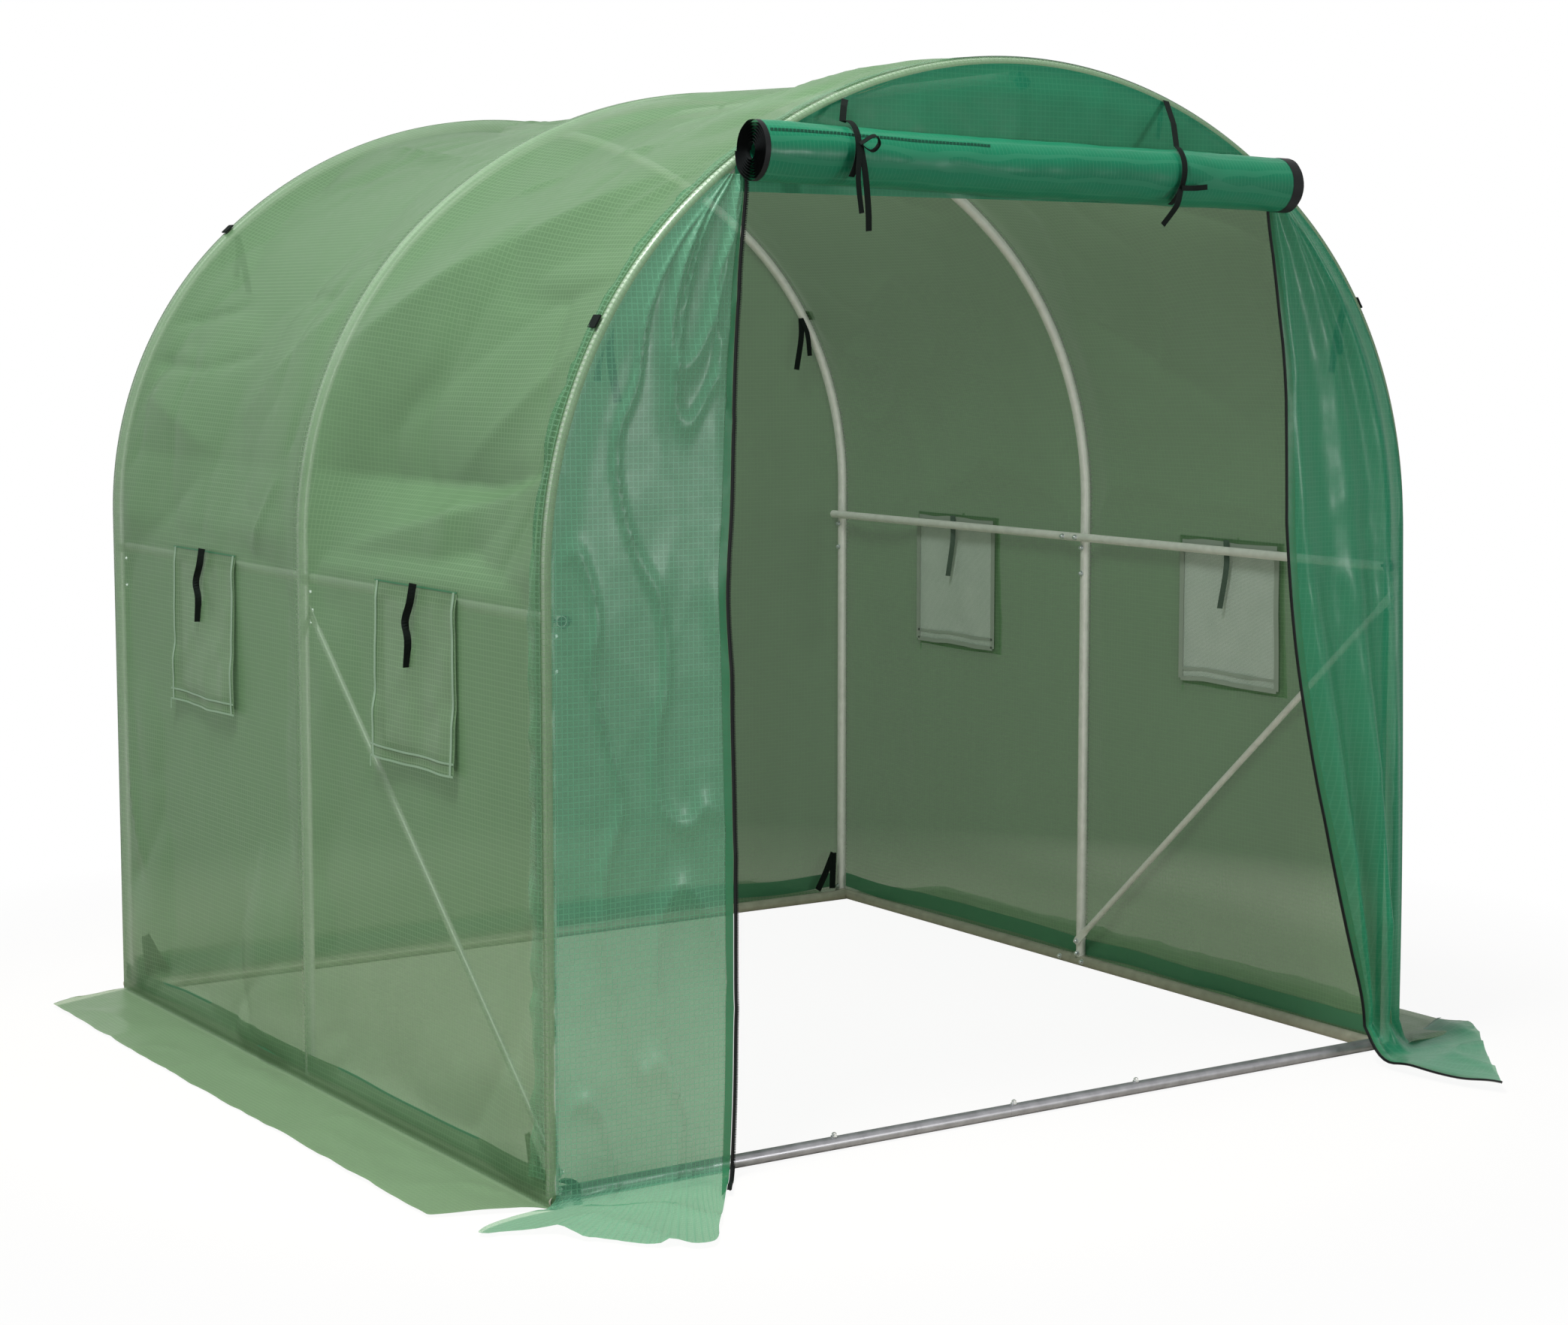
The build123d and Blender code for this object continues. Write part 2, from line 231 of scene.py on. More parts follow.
def plain(name, low, high, roughness=0.5, metallic=0.0, scale=30.0, shine=0.4):
    """A solid finish with a little unevenness in its colour, gloss and surface."""
    material, g = new_material(name)
    tone = mottle(g, scale, 4.0)
    bump = g.node("ShaderNodeBump", Strength=0.4, Distance=1.0, Height=tone * 0.0004)
    face = g.node(
        "ShaderNodeBsdfPrincipled",
        Base_Color=blend(g, tone, low, high),
        Roughness=tone * 0.25 + (roughness - 0.12),
        Metallic=metallic,
        Specular_IOR_Level=shine,
        Normal=bump.outputs[0],
    )
    g.node("ShaderNodeOutputMaterial", Surface=face.outputs[0])
    return material


def insect_net(name):
    """Fine insect net: threads 2 mm apart with clear gaps."""
    material, g = new_material(name)
    tone = blend(g, mottle(g, 20.0, 2.0), (0.56, 0.62, 0.57), (0.7, 0.75, 0.7))
    face = g.node("ShaderNodeBsdfPrincipled", Base_Color=tone, Roughness=0.7)
    clear = g.node("ShaderNodeBsdfTransparent", Color=(1, 1, 1, 1))
    whole = layered(g, weave(g, 0.002, 0.4) * 0.6 + 0.25, clear, face)
    g.node("ShaderNodeOutputMaterial", Surface=whole.outputs[0])
    return material


side_cloth = cloth("side_cloth", (0.13, 0.25, 0.12), (0.155, 0.275, 0.14))
# The gable's cloth is a darker, denser copy of the end cloth. Its darker colour is painted shade for the dark
# inside behind the gable.
gable_cloth_painted_shade = cloth(
    "gable_cloth_painted_shade", (0.012, 0.2, 0.1), (0.03, 0.23, 0.12), film_cover=0.86, thread_cover=0.93, shine=0.15,
)
end_cloth = cloth(
    "end_cloth", (0.012, 0.23, 0.115), (0.035, 0.26, 0.14), film_cover=0.72, shine=0.2, gloss=0.06,
)
panel_cloth = cloth(
    "panel_cloth", (0.12, 0.36, 0.22), (0.14, 0.38, 0.235),
    film_cover=0.54, thread_cover=0.7, shine=0.25, gloss=0.09,
)
lap_cloth = cloth(
    "lap_cloth", (0.09, 0.26, 0.13), (0.12, 0.29, 0.15),
    film_cover=0.4, thread_cover=0.6, shine=0.4, gloss=0.4,
)
flap_cloth = cloth("flap_cloth", (0.14, 0.25, 0.125), (0.17, 0.28, 0.15), film_cover=0.7, thread_cover=0.85)
foot_hem = cloth("foot_hem", (0.07, 0.25, 0.13), (0.09, 0.28, 0.15), film_cover=0.5, thread_cover=0.7)
hem_cloth = cloth("hem_cloth", (0.03, 0.2, 0.09), (0.05, 0.22, 0.1), film_cover=0.85)
pale_hem = cloth(
    "pale_hem", (0.24, 0.4, 0.25), (0.3, 0.44, 0.31), film_cover=0.3, thread_cover=0.8, pitch=0.006,
)
net_hem = cloth(
    "net_hem", (0.36, 0.42, 0.36), (0.46, 0.5, 0.44), film_cover=0.5, thread_cover=0.8, pitch=0.004,
)
net = insect_net("window_net")
stitch_green = plain(
    "stitch_green", (0.008, 0.07, 0.04), (0.02, 0.1, 0.06), roughness=0.7, scale=300.0, shine=0.1,
)
steel = plain(
    "galvanised", (0.6, 0.58, 0.55), (0.84, 0.81, 0.78), roughness=0.45, metallic=0.25, scale=55.0,
)
rail_steel = plain(
    "rail_galvanised", (0.17, 0.17, 0.18), (0.36, 0.36, 0.38), roughness=0.36, metallic=0.6, scale=40.0,
)
# The rails other than the front one get a browner, less metallic copy of the rail finish.
browner_rail_steel = plain(
    "browner_rail_galvanised", (0.26, 0.25, 0.19), (0.46, 0.44, 0.36), roughness=0.45, metallic=0.35, scale=40.0,
)
bolt_steel = plain(
    "bolt_steel", (0.6, 0.62, 0.64), (0.8, 0.82, 0.83), roughness=0.3, metallic=0.9, scale=160.0,
)
black_tape = plain(
    "black_tape", (0.004, 0.006, 0.005), (0.01, 0.014, 0.012), roughness=0.8, scale=240.0, shine=0.05,
)
grey_tie = plain("grey_tie", (0.05, 0.08, 0.06), (0.09, 0.13, 0.1), roughness=0.6, scale=200.0, shine=0.2)
zip_black = plain("zip_black", (0.005, 0.006, 0.006), (0.012, 0.014, 0.014), scale=300.0, shine=0.1)


def noise(p, q, seed):
    """Smooth random bumps from -1 to 1, one to each unit square."""
    table = np.random.default_rng(seed).uniform(-1, 1, (64, 64))
    i, j = np.floor(p).astype(int), np.floor(q).astype(int)
    f, g = p - i, q - j
    f, g = f * f * (3 - 2 * f), g * g * (3 - 2 * g)
    i, j, k, m = i % 64, j % 64, (i + 1) % 64, (j + 1) % 64
    return (table[i, j] * (1 - f) + table[k, j] * f) * (1 - g) + (table[i, m] * (1 - f) + table[k, m] * f) * g


def crease(p, q, seed):
    """Sharp random ridges between 0 and 1."""
    return (1 - np.abs(noise(p, q, seed))) ** 4


def smooth(x, low, high):
    """0 below low, 1 above high, and an even slope between."""
    t = np.clip((x - low) / (high - low), 0, 1)
    return t * t * (3 - 2 * t)


def share_of(x, start, end):
    """0 at start, 1 at end, in a straight line between."""
    return np.clip((start - x) / (start - end), 0, 1)


def lines(stops, step):
    """Positions about a step apart that fall on every stop."""
    found = [np.linspace(a, b, max(2, round((b - a) / step) + 1))[:-1] for a, b in zip(stops, stops[1:])]
    return np.concatenate([*found, [stops[-1]]])


def profile(a, out):
    """x, z and the outward direction at a length from the ridge, out from the middle line of the tube."""
    side, a = np.sign(a), np.abs(a)
    turn = np.minimum(a / crown_length, 1) * crown_sweep
    turn = turn + np.clip((a - crown_length) / shoulder_length, 0, 1) * shoulder_sweep
    on_crown = a <= crown_length
    radius = np.where(on_crown, crown_radius, shoulder_radius) + out
    x = np.where(on_crown, 0, shoulder_centre) + radius * np.sin(turn)
    z = np.where(on_crown, crown_centre, spring_height) + radius * np.cos(turn)
    return side * x, z - np.clip(a - spring, 0, spring_height), side * np.sin(turn), np.cos(turn)


def half_width(z):
    """Half the width of the tunnel's end at a height."""
    crown_base = crown_centre + crown_radius * cos(crown_sweep)
    over_spring = np.clip(z - spring_height, 0, None)
    low = shoulder_centre + np.sqrt(np.clip(shoulder_radius**2 - over_spring**2, 0, None))
    high = np.sqrt(np.clip(crown_radius**2 - (z - crown_centre) ** 2, 0, None))
    return np.where(z > crown_base, high, low)


def make_object(name, mesh, material):
    thing = bpy.data.objects.new(name, mesh)
    bpy.context.scene.collection.objects.link(thing)
    if not mesh.materials:
        mesh.materials.append(material)
    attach(thing, "root")
    return thing


def sheet_mesh(name, points, flat, material, keep=None, turn=False, taut=None):
    """A cloth from a grid of points, with its flat cut kept as a map in metres."""
    rows, columns = points.shape[:2]
    index = np.arange(rows * columns).reshape(rows, columns)
    quads = np.stack([index[:-1, :-1], index[1:, :-1], index[1:, 1:], index[:-1, 1:]], -1)
    quads = quads[keep] if keep is not None else quads.reshape(-1, 4)
    if turn:
        quads = quads[:, ::-1]
    used, quads = np.unique(quads, return_inverse=True)
    quads = quads.reshape(-1, 4)
    mesh = bpy.data.meshes.new(name)
    mesh.from_pydata(points.reshape(-1, 3)[used].tolist(), [], quads.tolist())
    layer = mesh.uv_layers.new(name="cut")
    layer.data.foreach_set("uv", flat.reshape(-1, 2)[used][quads.ravel()].astype(np.float32).ravel())
    if taut is not None:
        pressed = mesh.attributes.new("taut", "FLOAT", "POINT")
        pressed.data.foreach_set("value", taut.ravel()[used].astype(np.float32))
    mesh.polygons.foreach_set("use_smooth", np.ones(len(quads), bool))
    mesh.update()
    return make_object(name, mesh, material)


def ribbon_points(path, across, width, thickness):
    """Corner points of a flat strip along a path; across is the direction of its width at each point."""
    path, across = np.array(path, float), np.array(across, float)
    if across.ndim == 1:
        across = np.repeat(across[None], len(path), 0)
    along = np.gradient(path, axis=0)
    along /= np.linalg.norm(along, axis=1)[:, None] + 1e-12
    across = across - along * (across * along).sum(1)[:, None]
    across /= np.linalg.norm(across, axis=1)[:, None] + 1e-12
    up = np.cross(along, across)
    w, t = across * width / 2, up * thickness / 2
    return np.stack([path - w - t, path + w - t, path + w + t, path - w + t], 1)


def strips(name, parts, material):
    """One piece from several flat strips, each closed at its ends."""
    verts, faces, base = [], [], 0
    for path, across, width, thickness in parts:
        ring = ribbon_points(path, across, width, thickness)
        n = len(ring)
        verts.append(ring.reshape(-1, 3))
        for i in range(n - 1):
            for k in range(4):
                m = (k + 1) % 4
                faces.append([base + 4 * i + k, base + 4 * i + m, base + 4 * i + 4 + m, base + 4 * i + 4 + k])
        faces.append([base + 3, base + 2, base + 1, base])
        end = base + 4 * (n - 1)
        faces.append([end, end + 1, end + 2, end + 3])
        base += 4 * n
    mesh = bpy.data.meshes.new(name)
    mesh.from_pydata(np.concatenate(verts).tolist(), [], faces)
    mesh.update()
    return make_object(name, mesh, material)


def curve_through(points, count=40):
    """An even smooth line through a few points."""
    p = np.array(points, float)
    if len(p) == 2:
        return p[0] + (p[1] - p[0]) * np.linspace(0, 1, count)[:, None]
    ends = np.concatenate([[2 * p[0] - p[1]], p, [2 * p[-1] - p[-2]]])
    t = np.linspace(0, len(p) - 1 - 1e-9, count)
    i = t.astype(int)
    f = (t - i)[:, None]
    a, b, c, d = ends[i], ends[i + 1], ends[i + 2], ends[i + 3]
    return 0.5 * (2 * b + (c - a) * f + (2 * a - 5 * b + 4 * c - d) * f**2 + (3 * b - a - 3 * c + d) * f**3)


def tape(points, count, across, width, thickness=tape_thickness):
    """A flat tape on a smooth line through a few points, as a part of strips."""
    return curve_through(points, count), across, width, thickness


def hanging(start, steps):
    """Points at steps from a start."""
    return [start + np.array(step, float) for step in steps]


# The long sheet over the hoops, from one ground skirt to the other. Its rows and columns fall on the edges
# of the windows, on the hoops and on the foot of the wall.
grid_step = 0.0125
window_edges = [foot - (window_z + window_half), foot - (window_z - window_half)]
half_stops = [0, crown_length, spring, *window_edges, foot - 0.02, foot, foot + 0.02, reach]
a_lines = lines([-v for v in half_stops[:0:-1]] + half_stops, grid_step)
front_y = -hoop_y - lift * pi / 2
y_stops = [front_y, -hoop_y, -hoop_y + 0.03, -window_y - window_half, -window_y + window_half, 0]
y_lines = lines(y_stops + [-v for v in y_stops[-2::-1]], grid_step)
turned_edge = np.linspace(front_y, -hoop_y, 7)
near = np.array([-0.016, -0.011, -0.006, 0.0, 0.006, 0.011, 0.016])
more_lines = [turned_edge, -turned_edge, near, near[3:] - hoop_y, hoop_y - near[3:]]
y_lines = np.unique(np.round(np.concatenate([y_lines, *more_lines]), 5))
sheet_a, sheet_y = np.meshgrid(a_lines, y_lines, indexing="ij")

# Folds of the long sheet: start and end on the flat sheet (from the ridge, along the tunnel), width, depth.
cover_folds = (
    ((-0.66, -0.78), (-1.10, -0.06), 0.060, 0.014), ((-0.74, -1.02), (-1.29, -0.16), 0.060, -0.010),
    ((-0.96, -1.02), (-1.34, -0.46), 0.050, 0.012), ((-1.30, -0.95), (-1.52, -0.78), 0.020, -0.010),
    ((-1.05, 0.95), (-0.95, 0.48), 0.013, -0.014), ((-0.95, 0.52), (-0.98, 0.12), 0.014, -0.010),
    ((-0.95, 0.42), (-0.80, 0.45), 0.012, 0.009), ((-1.14, 0.98), (-1.15, 0.64), 0.013, -0.013),
    ((-1.15, 0.68), (-1.10, 0.42), 0.020, -0.009), ((-1.33, 0.10), (-1.12, 0.02), 0.014, -0.012),
    ((-0.36, 0.94), (-0.46, 0.30), 0.014, 0.012), ((-0.70, -0.22), (-0.59, -0.32), 0.012, 0.010),
    ((-0.78, -0.72), (-0.63, -0.86), 0.012, 0.010), ((-0.60, -0.42), (-0.55, -0.60), 0.011, 0.008),
    ((-1.62, 0.31), (-1.90, 0.36), 0.013, 0.009), ((-1.38, 0.13), (-1.54, 0.24), 0.014, 0.010),
    ((-1.20, 0.92), (-1.34, 0.50), 0.060, 0.014), ((-1.25, 0.40), (-0.98, 0.00), 0.060, 0.014),
    ((-1.90, 0.97), (-2.30, 0.84), 0.014, 0.012), ((-1.90, -0.98), (-2.40, -0.84), 0.020, -0.010),
    ((0.90, -0.98), (0.55, -0.40), 0.040, -0.014), ((1.20, 0.98), (0.85, 0.40), 0.040, 0.012),
    ((1.30, -0.60), (0.95, -0.05), 0.050, 0.014), ((-0.20, -0.98), (-0.45, -0.30), 0.040, 0.012),
    ((0.10, 0.05), (0.30, 0.85), 0.050, -0.012), ((0.25, -0.10), (0.05, -0.80), 0.040, 0.010),
)


def from_hoop(y):
    """Distance along the tunnel to the nearest hoop."""
    return np.min([np.abs(y + hoop_y), np.abs(y), np.abs(y - hoop_y)], axis=0)


def pinch(a, y, start, end, width, depth):
    """A narrow fold along a short line on the flat sheet, dying out at both ends."""
    (a0, y0), (a1, y1) = start, end
    run = np.hypot(a1 - a0, y1 - y0)
    t = ((a - a0) * (a1 - a0) + (y - y0) * (y1 - y0)) / run**2
    off = ((a - a0) * (y1 - y0) - (y - y0) * (a1 - a0)) / run
    return depth * np.exp(-np.abs(off) / width) * np.sin(pi * np.clip(t, 0, 1)) ** 0.6


def left_wall_folds(a, y, across, height, gap, free):
    """A fold line along the left wall: the front bay sags to it, and a facet comes out below."""
    fold = 1.23 + 0.042 * smooth(-y, 0.6, 0.96)
    lip = np.where(y < 0, 1.045 + np.clip(-y, 0, 1) * 0.232, 1.09)
    lip = np.minimum(lip, fold - 0.012)
    facet, below = share_of(height, fold, lip), share_of(height, lip, lip - 0.17)
    rear_bay = 0.4 * free * ((a < 0) & (y >= 0))
    drop = 0.38 * (fold - lip)
    above = share_of(height, fold + 0.22, fold)
    d = rear_bay * (-0.018 * above + drop * facet + (0.018 - drop) * smooth(below, 0, 1))
    front_bay = np.sin(pi * np.clip(gap / hoop_y, 0, 1)) ** 0.6 * ((a < 0) & (y < 0))
    ridge = 1.10 + 0.611 * (y + 0.06)
    risen, fallen = 0.02 * smooth(across, ridge - 0.22, ridge), share_of(across, ridge, foot - fold)
    steep = np.minimum(1.25 * (fold - lip), 0.07)
    return d + front_bay * (risen - 0.09 * fallen + steep * facet + (0.07 - steep) * below)


def cover_shape(a, y):
    """How far the long sheet stands out from its taut shape."""
    gap = from_hoop(y)
    free = smooth(gap, 0.012, 0.11)
    across = np.abs(a)
    height = foot - across
    on_right = a > 0
    wall = smooth(across, crown_length, spring)
    down_wall = smooth(across, spring, foot)
    sag = np.sin(pi * np.clip(gap / hoop_y, 0, 1)) ** 0.8
    depth = 0.022 + 0.018 * np.exp(-(((across - crown_length) / 0.35) ** 2)) - 0.012 * down_wall
    d = -depth * sag * smooth(height, 0, 0.3)
    slant = noise((across - y) * 2.6 + 4 * on_right, (across + y) * 0.9, 3)
    d += 0.022 * free * slant * (1 - 0.6 * down_wall)
    d += 0.012 * free * noise(across * 2.4 + y * 1.3, y * 3.1 - across * 0.7 + 9 * on_right, 2)
    d += 0.004 * free * noise(across * 1.1 + 5 * on_right, y * 8.0, 5) * wall
    d -= 0.008 * free * crease(across * 1.6 + y * 1.9, y * 3.4 - across * 2.0 + 7 * on_right, 7)
    d -= 0.005 * free * crease(across * 4.1 - y * 2.4, y * 5.4 + across * 1.4 + 3 * on_right, 11)
    d += 0.0008 * smooth(gap, 0.008, 0.04) * noise(a * 21, y * 17, 13)
    at_lap = np.exp(-np.clip(y + hoop_y, 0, None) / 0.05)
    d += 0.005 * at_lap * smooth(gap, 0.01, 0.03) * noise(a * 30, y * 9, 17)
    d += left_wall_folds(a, y, across, height, gap, free)
    for start, end, width, fold_depth in cover_folds:
        d += pinch(a, y, start, end, width, fold_depth) * free
    d *= smooth(height, -0.002, 0.06)
    # The sheet stays outside the hoops, purlins and rails.
    tubes_behind = smooth(across, spring - 0.12, spring + 0.05)
    limit = -0.045 - 0.085 * (a < 0) * smooth(-y, 0, 0.05) * smooth(across, 0.9, 1.1)
    limit = limit * (1 - tubes_behind) - 0.013 * tubes_behind
    limit = limit + 0.027 * (1 - smooth(across, 0.02, 0.09))
    limit = limit * smooth(height, 0.022, 0.1)
    return np.maximum(d, np.where(gap < 0.02, 0, limit))


def cover_points(a, y, more=0.0):
    """Points of the long sheet: it turns over the end hoops and lies out on the ground past its foot."""
    over = np.clip((np.abs(y) - hoop_y) / lift, 0, pi / 2)
    at_y = np.sign(y) * (np.minimum(np.abs(y), hoop_y) + lift * np.sin(over))
    x, z, nx, nz = profile(a, lift * np.cos(over))
    past = np.clip(np.abs(a) - foot, 0, None)
    side = np.sign(a)
    d = cover_shape(a, y) + more
    share = past / side_skirt
    # In the photo the right skirt reaches further than the left one.
    ragged = 1 + 0.012 * noise(y * 3, a * 0 + side, 23) + 0.008 * noise(y * 23, a * 0 + side, 29)
    ragged += np.where(a > 0, 0.22, -0.14)
    x = x + nx * d + side * past * ragged
    z = z + nz * d
    lump = 0.010 * crease(a * 9, y * 5.5, 31) + 0.006 * (1 + noise(a * 14, y * 9, 37))
    calm = 1 - 0.65 * share * (a < 0)
    on_ground = ground_gap + lump * calm * smooth(past, 0.0, 0.07) * 0.8
    z = np.where(past > 0, on_ground, np.maximum(z, ground_gap))
    at_y = at_y * (1 - 0.075 * share * np.where((a > 0) & (y < 0), 0.4, 1.0))
    return np.stack([x, at_y, z], -1)


def hoop_hold(a, y):
    """How hard the sheet is pressed on a hoop, from 0 to 1: most over the bow and at the front."""
    height = foot - np.abs(a)
    held = (1 - smooth(from_hoop(y), 0.007, 0.013)) * (np.abs(a) < foot - 0.03)
    return held * (0.3 + 0.7 * smooth(height, 0.75, 1.35)) * np.where(y < -0.9, 1.0, 0.6)


mid_z = foot - np.abs((a_lines[1:] + a_lines[:-1])[:, None] / 2)
mid_y = np.abs((y_lines[1:] + y_lines[:-1])[None] / 2)
opening = (np.abs(mid_z - window_z) < window_half) & (np.abs(mid_y - window_y) < window_half)
tunnel_cover = sheet_mesh(
    "tunnel_cover", cover_points(sheet_a, sheet_y), np.stack([sheet_a, sheet_y], -1),
    side_cloth, ~opening, turn=True, taut=hoop_hold(sheet_a, sheet_y),
)
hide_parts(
    "left_wall_sheet", "right_wall_sheet", "roof_left_sheet", "roof_crown_sheet",
    "roof_right_sheet", "left_skirt", "right_skirt",
)


# The lap behind the front hoop, where the end sheet is turned back over the long one.
lap_a, lap_share = np.meshgrid(lines([-foot + 0.05, foot - 0.05], 0.011), np.linspace(0, 1, 9), indexing="ij")
lap_width = 0.036 + 0.012 * noise(lap_a * 4, lap_a * 0, 41) + 0.008 * noise(lap_a * 17, lap_a * 0, 43)
lap_y = -hoop_y + lap_share * lap_width
ruffle_height = 0.001 + 0.006 * smooth(np.abs(lap_a), 0.5, 0.9)
ruffle = 0.002 + ruffle_height * lap_share * (1 + noise(lap_a * 30, lap_share * 1.5, 47))
front_lap = sheet_mesh(
    "front_lap", cover_points(lap_a, lap_y, ruffle), np.stack([lap_a, lap_y], -1),
    lap_cloth, turn=True, taut=hoop_hold(lap_a, lap_y),
)


def drape(x, z, seed, strength=1.0):
    """Creases of an end sheet, in metres out from its plane."""
    d = 0.010 * noise(x * 2.2 + z, z * 2.1, seed) + 0.004 * crease(x * 3.3 + z * 1.5, z * 2.7 - x, seed + 1)
    d += 0.003 * crease(x * 7.5 - z * 4, z * 6 + x * 3, seed + 2) + 0.0012 * noise(x * 22, z * 19, seed + 3)
    return strength * d


# The rear end: a flat sheet with its skirt turned out on the ground.
edge_x, edge_z, _, _ = profile(lines([0.03, spring, foot], 0.025), 0.0)
way_across = np.linspace(-1, 1, 81)
wall_x, wall_z = way_across[None] * edge_x[:, None], np.repeat(edge_z[:, None], len(way_across), 1)
inside = smooth(np.minimum(half_width(wall_z) - np.abs(wall_x), 0.3), 0.0, 0.07)
wall_y = hoop_y + lift + inside * drape(wall_x, wall_z, 51) * 0.6 * smooth(wall_z, 0, 0.05)
way_out = np.linspace(0, 1, 15)[1:]
skirt_depth = 0.31 + 0.012 * noise(way_across * 5, way_across * 0, 57)
skirt_x = way_across[None] * half_span * (1 - 0.13 * way_out[:, None])
skirt_y = hoop_y + lift + way_out[:, None] * skirt_depth[None]
skirt_z = ground_gap + 0.008 * smooth(way_out, 0, 0.3)[:, None] * crease(skirt_x * 6, skirt_y * 9, 59)
points = np.concatenate([np.stack([wall_x, wall_y, wall_z], -1), np.stack([skirt_x, skirt_y, skirt_z], -1)])
cut_down = np.concatenate([wall_z, -way_out[:, None] * skirt_depth[None]])
rear_end = sheet_mesh("rear_end", points, np.stack([points[..., 0], cut_down], -1), side_cloth)
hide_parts("rear_end_sheet", "rear_skirt")


# The front: a gable over the door, a zipped panel on the left and a curtain drawn back on the right.
def edge_of(table):
    """Where a door edge lies at a height, from a few points (z, x)."""
    line = curve_through(sorted(table), 300)
    return lambda z: np.interp(z, line[:, 0], line[:, 1])


left_door_edge = edge_of([
    (1.77, -0.607), (1.726, -0.607), (1.587, -0.62), (1.407, -0.63), (1.19, -0.636),
    (1.043, -0.645), (0.858, -0.637), (0.558, -0.63), (0.215, -0.63), (0.0, -0.638),
])
right_door_edge = edge_of([
    (1.77, 0.607), (1.71, 0.607), (1.546, 0.636), (1.38, 0.66), (1.157, 0.668), (1.086, 0.672),
    (0.878, 0.698), (0.679, 0.742), (0.451, 0.803), (0.256, 0.857), (0.119, 0.901), (0.0, 0.915),
])

gable_x = np.repeat(np.linspace(-door_half, door_half, 101)[:, None], 19, 1)
gable_top = crown_centre + np.sqrt(crown_radius**2 - gable_x**2)
gable_base = np.interp(gable_x, [-door_half, door_half], [door_top + 0.004, door_top - 0.004])
gable_z = gable_base + (gable_top - gable_base) * np.linspace(0, 1, 19)[None]
gable_out = (drape(gable_x, gable_z, 61) * 0.7 + 0.002) * smooth(gable_top - gable_z, 0, 0.06)
front_gable = sheet_mesh(
    "front_gable", np.stack([gable_x, front_plane - gable_out, gable_z], -1),
    np.stack([gable_x, gable_z], -1), gable_cloth_painted_shade,
)
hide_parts("front_gable_sheet")

panel_rows = 141


def panel(name, side, door_edge, outer_ground, folds, seed, material, bend=0.0, foot_level=0.02, bulge=0.0):
    """A front panel with its skirt: from the door edge to the hoop, and out along the ground."""
    levels = np.linspace(1.762, foot_level, panel_rows)
    s = np.linspace(0, 1, 46)
    inner = door_edge(levels)
    stand = bulge * (1 - smooth(levels, 0.2, 1.5))
    outer = side * np.maximum(half_width(levels) + stand, np.abs(inner) + 0.002)
    x = inner[:, None] + (outer - inner)[:, None] * s[None]
    z = np.repeat(levels[:, None], len(s), 1)
    held = smooth(np.abs(outer[:, None] - x), 0.0, 0.06)
    loose = 0.25 + 0.75 * smooth(s[None], 0.0, 0.12)
    y = front_plane - held * (0.004 + loose * (drape(x, z, seed, 0.9 if bulge else 0.3) + folds(s[None], z)))

    # The skirt, from the panel's foot out to a line on the ground.
    ground = curve_through(outer_ground, len(s))
    foot_line = np.stack([x[-1], y[-1]], -1)
    t = np.linspace(0, 1, 25)[1:]
    laid = foot_line[None] * (1 - t)[:, None, None] + ground[None] * t[:, None, None]
    laid[..., 0] += bend * 4 * (t * (1 - t))[:, None] * (1 - s[None]) ** 2
    fray = 0.008 * noise(s[None] * 21, t[:, None] * 0, seed + 7) * t[:, None] ** 4
    laid = laid + fray[..., None]
    fall = (foot_level - ground_gap) * np.clip(1 - t / 0.3, 0, 1) ** 2
    wrinkle = 0.012 * crease(laid[..., 0] * 8, laid[..., 1] * 8, seed + 5) + 0.003
    laid_z = ground_gap + 0.2 * bulge + smooth(t, 0.1, 0.45)[:, None] * wrinkle + fall[:, None]
    points = np.concatenate([np.stack([x, y, z], -1), np.stack([laid[..., 0], laid[..., 1], laid_z], -1)])
    skirt_run = np.linalg.norm(ground - foot_line, axis=1)
    down = np.concatenate([z, foot_level - t[:, None] * skirt_run[None]])
    width = np.concatenate([x, np.repeat(x[-1:], len(t), 0)])
    if bulge:
        # The edge is wrapped round the corner of the tunnel.
        turn = np.linspace(0, 1, 7)[1:]
        end = np.concatenate([stand + lift * 0.5, stand[-1] * (1 - t) ** 2])
        back = np.outer(np.r_[np.ones(panel_rows), (1 - t) ** 2], 0.05 * turn)
        corner = np.repeat(points[:, -1:], len(turn), 1)
        corner[..., :2] += np.stack([np.outer(end, -side * turn**2) + side * lift * turn, back], -1)
        points = np.concatenate([points, corner], 1)
        down = np.concatenate([down, np.repeat(down[:, -1:], len(turn), 1)], 1)
        width = np.concatenate([width, width[:, -1:] + side * 0.05 * turn[None]], 1)
    made = sheet_mesh(name, points, np.stack([width, down], -1), material, turn=side > 0)
    return made, points


def streaks(s, z):
    """Thin slanting creases of the zipped panel."""
    first = 0.010 * crease(s * 2.4 - z * 1.8, z * 2.2 + s * 1.3, 75) ** 3
    second = 0.009 * crease(s * 4 - z * 4.2, z * 3.0 + s * 2.2, 76) ** 3
    return 0.003 * noise(s * 3, z * 1.1, 71) + first + second


def gather(s, z):
    """Long folds of the curtain, deepest near its foot."""
    wave = np.sin(s * tau * (2.1 + 0.5 * z) + 1.3 * noise(s * 2, z * 1.4, 79))
    return (0.006 + 0.018 * smooth(-z, -1.2, -0.15)) * (1 + wave) * (1 - 0.6 * smooth(-z, -0.3, 0))


